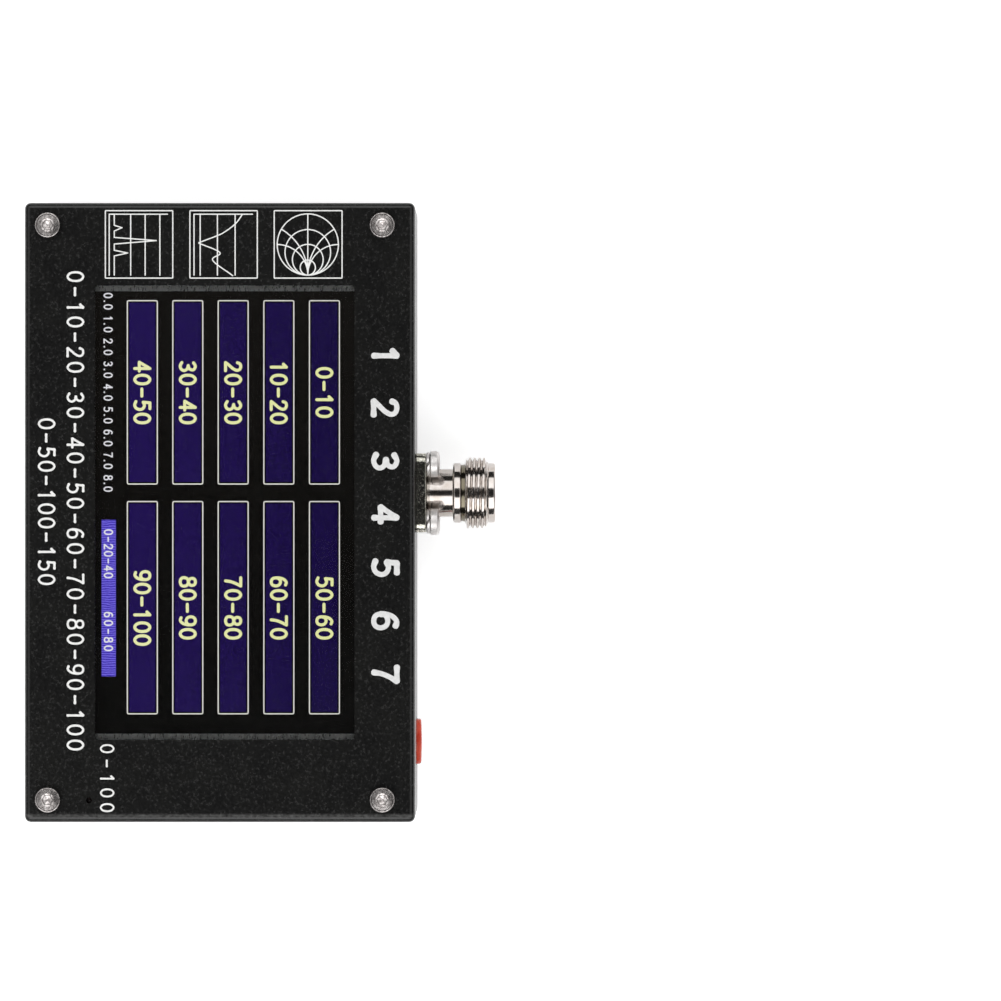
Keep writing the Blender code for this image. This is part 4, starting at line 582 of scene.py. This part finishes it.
chartLook = {"low": 11.95, "tall": 14.85, "radius": 6.7, "middle": (7.4, 7.35), "inner": (4.99, 3.37, 1.66),
             "crossing": (math.sqrt(3), 1.0), "rimTo": 354, "rimSteps": 60, "innerTo": 352, "innerSteps": 45,
             "crossSteps": 30}


def ruled(look):
    # a graph's two axes and its level grid lines
    return look["axes"] + [[(look["gridFrom"], y), (look["gridTo"], y)] for y in look["grid"]]


def arcPart(centre, radius, start, end, steps):
    # points along part of a circle
    turn = np.radians(np.linspace(start, end, steps))
    return np.stack([centre[0] + radius * np.cos(turn), centre[1] + radius * np.sin(turn)], -1)


def chartLines():
    # circle chart: circles touching at one point of the rim, crossed by arcs through that point
    look = chartLook
    big, (cx, cy) = look["radius"], look["middle"]
    point = cx + big
    rings = [arcPart((cx, cy), big, 0, look["rimTo"], look["rimSteps"])]
    rings += [arcPart((point - r, cy), r, 0, look["innerTo"], look["innerSteps"]) for r in look["inner"]]
    lines = [[(cx - big, cy), (cx + big, cy)]]
    for share in look["crossing"]:
        r = big * share
        for side in (1, -1):
            turn = math.degrees(2 * math.atan2(big, r))
            start = -90 * side
            lines.append(arcPart((point, cy + side * r), r, start, start - side * turn, look["crossSteps"]))
    return lines, rings


peaks = [[a, b] for a, b in zip(peakLook["path"][:-1], peakLook["path"][1:])]
icon("peakIcon", peakLook, ruled(peakLook) + peaks)
icon("dipIcon", dipLook, ruled(dipLook) + [curved(path) for path in dipLook["curves"]])
icon("chartIcon", chartLook, *chartLines())
print("printing made")


# display image: thin lit patches just over the panel

panelTop = 22.62
textTop = panelTop + 0.055  # figures on a patch stand on its upper face
imageLook = {"thick": 0.05, "low": (-20.46, -10.48, -0.52, 9.51, 19.52), "tall": 6.58,
             "columns": ((-46.5, 40.25), (-2.4, 46.6)), "border": 0.118, "corner": 0.3, "gap": 0.45,
             "fillCorner": 0.1, "cornerSteps": 4, "levels": ((1.0, 0.0), (1.0, 0.7), (0.998, 1.0))}
labelLook = {"tall": 4.0, "radius": 0.33, "wide": 2.35, "room": 2.75, "z": textTop, "thick": 0.04}
barLook = {"box": (1.6, -26.12, 34.4, 3.15), "corner": 0.1}
barText = {"y": -25.65, "tall": 2.1, "radius": 0.16, "wide": 1.2, "z": textTop, "thick": 0.03}
barFigures = {"0-20-40": (3.7, 14.4), "60-80": (21.8, 30.4)}
statusLook = {"x": (-48.2, -4.6), "y": -25.7, "tall": 2.05, "radius": 0.14, "wide": 1.1, "z": panelTop,
              "thick": 0.04}


def outlined(x, y, wide, tall, corner):
    # a patch's middle, and its outline about the middle
    half = np.array([wide, tall]) / 2
    return half + (x, y), cornered(half - corner, corner, imageLook["cornerSteps"])


def plate(x, y, wide, tall, corner):
    # a flat patch with rounded corners: its outline at three heights, drawn in a little at the top
    middle, outline = outlined(x, y, wide, tall, corner)
    grid = []
    for share, level in imageLook["levels"]:
        height = np.full((len(outline), 1), panelTop + imageLook["thick"] * level)
        grid.append(np.concatenate([middle + outline * share, height], 1))
    return np.stack(grid), False


fills, borders, labels = [], [], []
for column, (x, wide) in enumerate(imageLook["columns"]):
    for row, y in enumerate(imageLook["low"]):
        tall, gap = imageLook["tall"], imageLook["gap"]
        fills.append(plate(x + gap, y + gap, wide - 2 * gap, tall - 2 * gap, imageLook["fillCorner"]))
        middle, outline = outlined(x, y, wide, tall, imageLook["corner"])
        borders.append(stroke(middle + outline, imageLook["border"], panelTop, imageLook["thick"], True))
        ten = 10 * (5 * column + 4 - row)
        text = f"{ten}-{ten + 10}"
        half = labelLook["room"] * len(text) / 2
        place = {"x": (middle[0] - half, middle[0] + half), "y": middle[1] - labelLook["tall"] / 2}
        labels += written(text, {**labelLook, **place})
bar = plate(*barLook["box"], barLook["corner"])
status = written("0.0 1.0 2.0 3.0 4.0 5.0 6.0 7.0 8.0", statusLook)
for text, place in barFigures.items():
    status += written(text, {**barText, "x": place})
for name, grids, material in (("imageFills", fills, "litViolet"), ("imageBorders", borders, "litOutline"),
                              ("imageLabels", labels, "litYellow"), ("imageBar", [bar], "litBlue"),
                              ("imageStatus", status, "litWhite")):
    shaped(name, *woven(grids), material, "lcd_black")
print("display image made")


# screws with a recess in their heads

# both kinds of M3 screw: the recess as shares of outline, depth and point; the mouth; then millimetres
screwLook = {"recessRows": ((0.03, 1, 1), (0.5, 1, 0.5), (0.93, 1, 0.07), (1, 0.93, 0), (1, 0.5, 0)),
             "mouthRows": (0.5, 0.9, 1.0), "domeFrom": 0.02, "rimFrom": 15, "rimRows": 6, "ledgeShare": 0.9,
             "under": 0.12, "neck": 0.05, "shank": 1.48, "pitch": 0.5, "threadDeep": 0.25, "threadFrom": 0.1,
             "threadTo": 0.35, "fade": 0.6, "tipRise": 0.1, "tip": 0.4, "columns": 96, "sharp": 40}
frontScrewLook = {**screwLook, "recess": "hex", "across": 2.15, "deep": 0.75, "point": 0.35, "sink": 0.14,
                  "mouth": 1.45, "headRadius": 2.74, "headTall": 1.65, "crown": 0.062, "bow": 1.0,
                  "domeRows": 48, "ripple": 0.0047, "ripplePitch": 0.17, "ledge": 0.14, "rim": 0.26,
                  "threadRows": 50}
panScrewLook = {**screwLook, "recess": "cross", "across": 3.0, "blade": 0.7, "deep": 1.1, "point": 0.25,
                "sink": 0.05, "mouth": 1.56, "headRadius": 2.88, "headTall": 1.9, "crown": 0.2, "bow": 2.0,
                "domeRows": 12, "ripple": 0.0, "ripplePitch": 1.0, "ledge": 0.0, "rim": 0.35,
                "threadRows": 90}


def recessOutline(look, turn):
    # the recess's radius by turn: a hexagon's sides at half its width across, or a cross of two blades
    if look["recess"] == "hex":
        folded = (turn + np.pi / 6) % (np.pi / 3) - np.pi / 6
        return look["across"] / 2 / np.cos(folded)
    nearest = np.maximum(1e-6, np.minimum(abs(np.sin(turn)), abs(np.cos(turn))))
    return np.minimum(look["across"] / 2, look["blade"] / 2 / nearest)


def headedScrew(name, node, look, material, slot, axis):
    # rings round the screw's axis, from the recess floor out over the head and down the shank: their radius
    # blends from the recess outline to a circle, and the shank's thread is a wave of length and turn
    low, high = span(node)
    centre, length = (low + high) / 2, high[axis] - low[axis]
    turn = np.linspace(0, 2 * np.pi, look["columns"], endpoint=False)
    outline = recessOutline(look, turn)

    def ring(radius, depth):
        return np.stack([radius + 0 * turn, -depth + 0 * turn], -1)

    head, rim, shank, tall = look["headRadius"], look["rim"], look["shank"], look["headTall"]
    crown, mouth, sink, ledge = look["crown"], look["mouth"], look["sink"], look["ledge"]
    grid = [ring(outline * a, look["deep"] * b + look["point"] * c) for a, b, c in look["recessRows"]]
    grid.append(ring(outline, sink))
    grid += [ring(outline * (1 - s) + mouth * s, sink * (1 - s)) for s in look["mouthRows"]]  # countersunk
    inner = head - rim
    wide = inner - ledge - mouth
    for share in np.linspace(look["domeFrom"], 1, look["domeRows"]):  # the low crown, with fine turned rings
        ripple = look["ripple"] * (1 - math.cos(2 * math.pi * share * wide / look["ripplePitch"]))
        grid.append(ring(mouth + wide * share, crown * share ** look["bow"] + ripple))
    if ledge:
        grid += [ring(inner - ledge * look["ledgeShare"], crown), ring(inner, crown)]
    for angle in np.radians(np.linspace(look["rimFrom"], 90, look["rimRows"])):  # the rounded rim
        grid.append(ring(inner + rim * np.sin(angle), crown + rim * (1 - np.cos(angle))))
    under, neck = look["under"], look["neck"]
    grid += [ring(head, tall - under), ring(head - under, tall)]
    grid += [ring(shank + neck, tall), ring(shank, tall + neck)]
    for s in np.linspace(tall + look["threadFrom"], length - look["threadTo"], look["threadRows"]):
        wave = 0.5 + 0.5 * np.cos(2 * np.pi * (s / look["pitch"] - turn / (2 * np.pi)))
        fade = np.clip((s - tall) / look["fade"], 0, 1)
        grid.append(ring(shank - look["threadDeep"] * wave * fade, s))
    grid += [ring(shank - look["threadTo"], length - look["tipRise"]), ring(look["tip"], length)]
    grid = np.stack(grid)
    first, second = [k for k in (0, 1, 2) if k != axis]
    placed = np.zeros(grid.shape[:2] + (3,))
    placed[..., first] = centre[first] + grid[..., 0] * np.cos(turn)
    placed[..., second] = centre[second] + grid[..., 0] * np.sin(turn)
    placed[..., axis] = high[axis] + grid[..., 1]
    shaped(name, *woven([(placed, False)]), material, slot, replaced=(node,), smoothTo=look["sharp"])


for k in fours:
    headedScrew(f"frontScrew{k}", f"front_screw_{k}", frontScrewLook, "stainlessSteel", "stainless_steel", 2)
    headedScrew(f"flangeScrew{k}", f"flange_screw_{k}", panScrewLook, "satinNickel", "nickel_plate", 1)

washerLook = {"outer": 2.6, "inner": 1.62, "gap": 14, "slant": 18, "twist": 0.16, "soft": 0.1,
              "cornerSteps": 4, "steps": 90, "sharp": 50}


def springWasher(name, node):
    # a rounded square section carried round the screw's axis through all but a slanted gap: its radius runs
    # with the section, its height climbs evenly by the twist
    look = washerLook
    low, high = span(node)
    centre = (low + high) / 2
    thick = high[1] - low[1] - look["twist"]
    half = np.array([look["outer"] - look["inner"], thick]) / 2 - look["soft"]
    section = cornered(half, look["soft"], look["cornerSteps"])
    share = np.linspace(0, 1, look["steps"])[:, None]
    lean = math.radians(look["slant"]) * section[None, :, 1] / thick
    turn = math.radians(90 + look["gap"] / 2) + math.radians(360 - look["gap"]) * share + lean
    radius = (look["outer"] + look["inner"]) / 2 + section[None, :, 0]
    rise = section[None, :, 1] + look["twist"] * (share - 0.5)
    points = centre + np.stack([radius * np.cos(turn), rise, radius * np.sin(turn)], -1)
    grids = [(points, False)]
    shaped(name, *woven(grids), "satinNickel", "nickel_plate", replaced=(node,), smoothTo=look["sharp"])


for k in fours:
    springWasher(f"springWasher{k}", f"flange_washer_{k}")
print("screws and washers made")


# connector: flange plate and threaded shell, both about the contact's axis

contactLow, contactHigh = span("connector_contact")
axisX, axisZ = (contactLow[0] + contactHigh[0]) / 2, (contactLow[2] + contactHigh[2]) / 2
flangeLook = {"back": 42.85, "half": 8.75, "corner": 2.0, "thick": 2.2, "hole": 1.7, "holeAt": 6.35,
              "bore": 4.95, "boreSteps": 17, "cornerSteps": 9, "sideSteps": 9, "lineSteps": 7,
              "blendSteps": 6, "edge": 0.15, "edgeSteps": 3, "sharp": 50}


def flangeSheet():
    # four quarters round four holes: each quarter is rings blended from its hole's circle to its outline
    look = flangeLook
    half, corner, at, bore = (look[k] for k in ("half", "corner", "holeAt", "bore"))
    arcIn = np.radians(np.linspace(90, 0, look["boreSteps"]))
    arcOut = np.radians(np.linspace(0, 90, look["cornerSteps"]))
    line = np.linspace(bore, half, look["lineSteps"])
    side = np.linspace(0, half - corner, look["sideSteps"])
    pieces = [(bore * np.cos(arcIn), bore * np.sin(arcIn)), (line, 0 * line), (0 * side + half, side),
              (half - corner + corner * np.cos(arcOut), half - corner + corner * np.sin(arcOut)),
              (side[::-1], 0 * side + half), (0 * line, line[::-1])]
    outline = np.concatenate([np.stack(piece, -1)[:-1] for piece in pieces])
    turn = np.arctan2(outline[:, 1] - at, outline[:, 0] - at)
    circle = np.stack([at + look["hole"] * np.cos(turn), at + look["hole"] * np.sin(turn)], -1)
    t = np.linspace(0, 1, look["blendSteps"])[:, None, None]
    quarter = circle * (1 - t) + outline * t
    rows, columns = quarter.shape[:2]
    index = np.arange(rows * columns).reshape(rows, columns)
    inner, outer = index[:-1], index[1:]
    quads = np.stack([inner, np.roll(inner, -1, 1), np.roll(outer, -1, 1), outer], -1).reshape(-1, 4)
    points, faces = [], []
    for k in range(4):
        a = math.pi / 2 * k
        spin = np.array([[math.cos(a), math.sin(a)], [-math.sin(a), math.cos(a)]])
        points.append(quarter.reshape(-1, 2) @ spin)
        faces += (quads + k * rows * columns).tolist()
    return np.concatenate(points), faces


def connectorFlange():
    # the flat sheet of quads is given its thickness and soft edges
    look = flangeLook
    flat, faces = flangeSheet()
    points = np.stack([axisX + flat[:, 0], np.full(len(flat), look["back"]), axisZ + flat[:, 1]], -1)
    mesh = bpy.data.meshes.new("connectorFlange")
    mesh.from_pydata((points * mm).tolist(), [], faces)
    form = bmesh.new()
    form.from_mesh(mesh)
    bmesh.ops.remove_doubles(form, verts=form.verts, dist=cadSeam * mm)
    grown = bmesh.ops.extrude_face_region(form, geom=form.faces[:], use_keep_orig=True)
    for vert in (thing for thing in grown["geom"] if isinstance(thing, bmesh.types.BMVert)):
        vert.co.y += look["thick"] * mm
    flange = shaped("connectorFlange", *pointsAndFaces(form), "milledNickel", "nickel_plate",
                    replaced=("connector_shell",))
    softEdges(flange, look["edge"], look["edgeSteps"], look["sharp"])


shellLook = {"columns": 144, "soft": 0.1, "softShare": 0.45, "softSteps": 3, "chamfer": 0.3,
             "back": 0.3, "spigot": 4.9, "spigotTo": 2.25, "barrel": 5.3, "barrelFrom": 2.28,
             "collar": 6.65, "collarAt": 8.1, "collarLong": 1.9,
             "undercut": 6.4, "undercutLong": 0.75, "undercutLead": 0.1, "undercutEnd": 0.05,
             "crest": 7.93, "root": 7.25, "pitch": 1.058, "rowsPerPitch": 24, "start": 0.27,
             "waveSteep": 2.3, "waveMiddle": 0.85, "fadeIn": 0.4, "fadeOut": 0.8, "fadeDeep": 0.6,
             "nose": 6.65, "noseLong": 1.5, "noseFrom": 0.05, "mouth": 4.3, "mouthDeep": 9.4, "inner": 3.52}


def softened(profile, look):
    # each corner of a closed profile becomes a short arc: a quadratic blend of points a little to either side
    profile = np.asarray(profile, float)
    sides = []
    for shift in (1, -1):
        toward = np.roll(profile, shift, 0) - profile
        share = np.minimum(look["softShare"], look["soft"] / np.linalg.norm(toward, axis=1))
        sides.append((profile + toward * share[:, None])[:, None])
    t = np.linspace(0, 1, look["softSteps"] + 1)[None, :, None]
    return (sides[0] * (1 - t) ** 2 + profile[:, None] * 2 * t * (1 - t) + sides[1] * t ** 2).reshape(-1, 2)


def threadedShell():
    # a closed profile turned round the axis; along the thread the radius is a flattened wave of length and
    # turn, so that the groove climbs one pitch in a turn
    look, reach = shellLook, span("connector_shell")[1][1] - flangeLook["back"]
    bevel, back, collar, collarAt = look["chamfer"], look["back"], look["collar"], look["collarAt"]
    collarEnd = collarAt + look["collarLong"]
    start = collarEnd + look["undercutLong"]
    end, floor = reach - look["noseLong"], reach - look["mouthDeep"]
    outer = [(look["spigot"], back), (look["spigot"], look["spigotTo"]), (look["barrel"], look["barrelFrom"]),
             (look["barrel"], collarAt), (collar - bevel, collarAt), (collar, collarAt + bevel),
             (collar, collarEnd - bevel), (collar - bevel, collarEnd),
             (look["undercut"] - look["undercutLead"], collarEnd),
             (look["undercut"], start - look["undercutEnd"])]
    nose, mouth, inner = look["nose"], look["mouth"], look["inner"]
    rest = [(nose, end + look["noseFrom"]), (nose, reach - bevel), (nose - bevel, reach),
            (mouth + bevel, reach), (mouth, reach - bevel), (mouth, floor), (inner, floor), (inner, back)]
    loop = softened(outer + rest, look)
    cut = int(np.argmin(np.abs(loop - outer[-1]).sum(1))) + 1
    turn = np.linspace(0, 2 * np.pi, look["columns"], endpoint=False)
    along = np.linspace(start, end, int(look["rowsPerPitch"] * (end - start) / look["pitch"]))
    phase = along[:, None] / look["pitch"] - turn / (2 * np.pi) + look["start"]
    wave = np.clip(look["waveSteep"] * (np.abs((phase % 1) * 2 - 1) - 0.5) + look["waveMiddle"], 0, 1)
    fade = np.minimum((along - start) / look["fadeIn"], (end - along) / look["fadeOut"])
    fade = np.clip(fade, 0, 1)[:, None]
    thread = look["root"] - look["fadeDeep"] * (1 - fade) + (look["crest"] - look["root"]) * wave * fade
    radius = np.concatenate([loop[:cut, :1] + 0 * turn, thread, loop[cut:, :1] + 0 * turn])
    level = flangeLook["back"] + np.concatenate([loop[:cut, 1], along, loop[cut:, 1]])[:, None] + 0 * turn
    return np.stack([axisX + radius * np.cos(turn), level, axisZ + radius * np.sin(turn)], -1), True


connectorFlange()
shaped("connectorBarrel", *woven([threadedShell()]), "nickelPlate", "nickel_plate",
       replaced=("connector_shell",))
print("connector made")


# finishes of the CAD nodes that stay: the record's slot, and the nodes

nodeFinish = {
    "blackFoamPaintedShade": ("black_foam", ["window_gasket", "battery_pad"]),
    "touchGlass": ("dark_glass", ["touch_glass"]),
    "zincPlate": ("zinc_plate", [f"board_pillar_{k}" for k in fours] + [f"board_screw_{k}" for k in fours]),
    "nickelPlate": ("nickel_plate", ["usb_socket"] + [f"flange_nut_{k}" for k in fours]),
    "tinnedSteel": ("tinned_steel", ["lcd_frame", "shield_can", "card_socket"]),
    "lcdBlack": ("lcd_black", ["lcd_panel"]),
    "blackAbs": ("black_plastic", ["processor_chip", "buzzer", "usb_tongue", "memory_card", "switch_body",
                                   "header_socket_left", "header_socket_right", "pin_header_left",
                                   "pin_header_right"]),
    "amberFilm": ("amber_film", ["display_ribbon"]),
    "greenSolderMask": ("board_green", ["main_board", "measuring_board"]),
    "whitePtfe": ("ptfe_white", ["connector_insulator"]),
    "goldPlate": ("gold_plate", ["connector_contact"]),
    "whiteNylon": ("white_plastic", ["ribbon_socket", "button_plunger", "battery_plug", "battery_socket"]),
    # the charge lamp's body is painted near black, the shade of its hole
    "redEpoxyPaintedShade": ("red_lamp", ["charge_lamp"]),
    "silverFoil": ("silver_foil", ["battery_pack"]),
    "redPvc": ("red_insulation", ["battery_wire_positive"]),
    "blackPvc": ("black_insulation", ["battery_wire_negative"]),
}
for finishName, (slot, names) in nodeFinish.items():
    for name in names:
        data = nodes[name].data
        data.materials.clear()
        data.materials.append(made[finishName])
print("CAD nodes finished")


# floor, light and camera

floorLook = {"span": 1.6, "z": -0.0002, "tone": "#f2f2f2", "lift": 0.45, "backdrop": 0.13}


def floorPiece():
    # white paper sweep: matt, keeps the shadow; to the camera and in reflections it also glows a little
    look = floorLook
    mesh = bpy.data.meshes.new("floor")
    s, z = look["span"], look["z"]
    mesh.from_pydata([(-s, -s, z), (s, -s, z), (s, s, z), (-s, s, z)], [], [(0, 1, 2, 3)])
    material, tree = blank("floorPaper")
    path = put(tree, "LightPath").outputs
    paper = put(tree, "BsdfDiffuse", {"Color": linear(look["tone"])})
    glow = maths(tree, "MULTIPLY_ADD", path["Is Camera Ray"], look["backdrop"], look["lift"])
    bright = put(tree, "Emission", {"Color": (1, 1, 1, 1)}, {"Strength": glow})
    both = put(tree, "AddShader", {}, {0: paper.outputs[0], 1: bright.outputs[0]})
    seen = maths(tree, "MAXIMUM", path["Is Camera Ray"], path["Is Glossy Ray"])
    seen = maths(tree, "MAXIMUM", seen, path["Is Transmission Ray"])
    shown = put(tree, "MixShader", {}, {0: seen, 1: paper.outputs[0], 2: both.outputs[0]})
    put(tree, "OutputMaterial", {}, {"Surface": shown.outputs[0]})
    mesh.materials.append(material)
    piece = bpy.data.objects.new("floor", mesh)
    bpy.context.scene.collection.objects.link(piece)


floorPiece()

# ring levels by height of the direction: dim up to the horizon, full round the sides, dark overhead
studioLook = {"levels": ((0.0, 0.02), (0.45, 0.02), (0.5, 1.0), (0.938, 1.0), (0.955, 0.015)),
              "strength": 2.2, "side": 0.35, "tilt": 0.3, "below": 0.5, "belowFrom": -0.05, "belowFull": -0.3}


def studioWorld():
    # light by direction: dark overhead, a bright ring of soft panels, dim near the horizon; brighter along X;
    # the soft light from below only reaches an underside that the floor doesn't cover
    look = studioLook
    world = bpy.data.worlds.new("studio")
    bpy.context.scene.world = world
    world.use_nodes = True
    tree = world.node_tree
    tree.nodes.clear()
    place = put(tree, "TexCoord").outputs["Generated"]
    parts = put(tree, "SeparateXYZ", {}, {0: place}).outputs
    ramp = put(tree, "ValToRGB", {}, {0: parts[2]})
    stops = ramp.color_ramp.elements
    while len(stops) < len(look["levels"]):
        stops.new(0.5)
    for stop, (at, level) in zip(stops, look["levels"]):
        stop.position = at
        stop.color = (level, level, level, 1)
    sideways = maths(tree, "MULTIPLY", parts[0], parts[0])
    both = maths(tree, "ADD", sideways, maths(tree, "MULTIPLY", parts[1], parts[1]))
    share = maths(tree, "DIVIDE", sideways, both, clamp=True)
    strength = maths(tree, "MULTIPLY", ramp.outputs[0], ranged(tree, share, (0.0, 1.0), (look["side"], 1.0)))
    tilt = ranged(tree, parts[0], (-1.0, 1.0), (1 - look["tilt"], 1 + look["tilt"]))  # a little more from +X
    strength = maths(tree, "MULTIPLY", maths(tree, "MULTIPLY", strength, tilt), look["strength"])
    below = ranged(tree, parts[2], (look["belowFrom"], look["belowFull"]), (0.0, look["below"]))
    strength = maths(tree, "ADD", strength, below)
    path = put(tree, "LightPath").outputs
    seen = put(tree, "Mix", {"data_type": "FLOAT", 3: 1.0}, {0: path["Is Camera Ray"], 2: strength})
    light = put(tree, "Background", {"Color": (1, 1, 1, 1)}, {"Strength": seen.outputs[0]})
    put(tree, "OutputWorld", {}, {"Surface": light.outputs[0]})


studioWorld()

cameraLook = {"distance": 0.9, "across": 0.21904, "x": -0.00263, "y": 0.061467, "front": 0.026, "sensor": 36,
              "clip": (0.05, 20)}
lens = bpy.data.cameras.new("camera")
lens.sensor_width = cameraLook["sensor"]
lens.lens = cameraLook["sensor"] * cameraLook["distance"] / cameraLook["across"]
lens.clip_start, lens.clip_end = cameraLook["clip"]
camera = bpy.data.objects.new("camera", lens)
camera.location = (cameraLook["x"], cameraLook["y"], cameraLook["front"] + cameraLook["distance"])
camera.rotation_euler = (0, 0, math.pi / 2)
bpy.context.scene.collection.objects.link(camera)
bpy.context.scene.camera = camera
bpy.context.scene.view_settings.view_transform = "Standard"

print("scene ready")
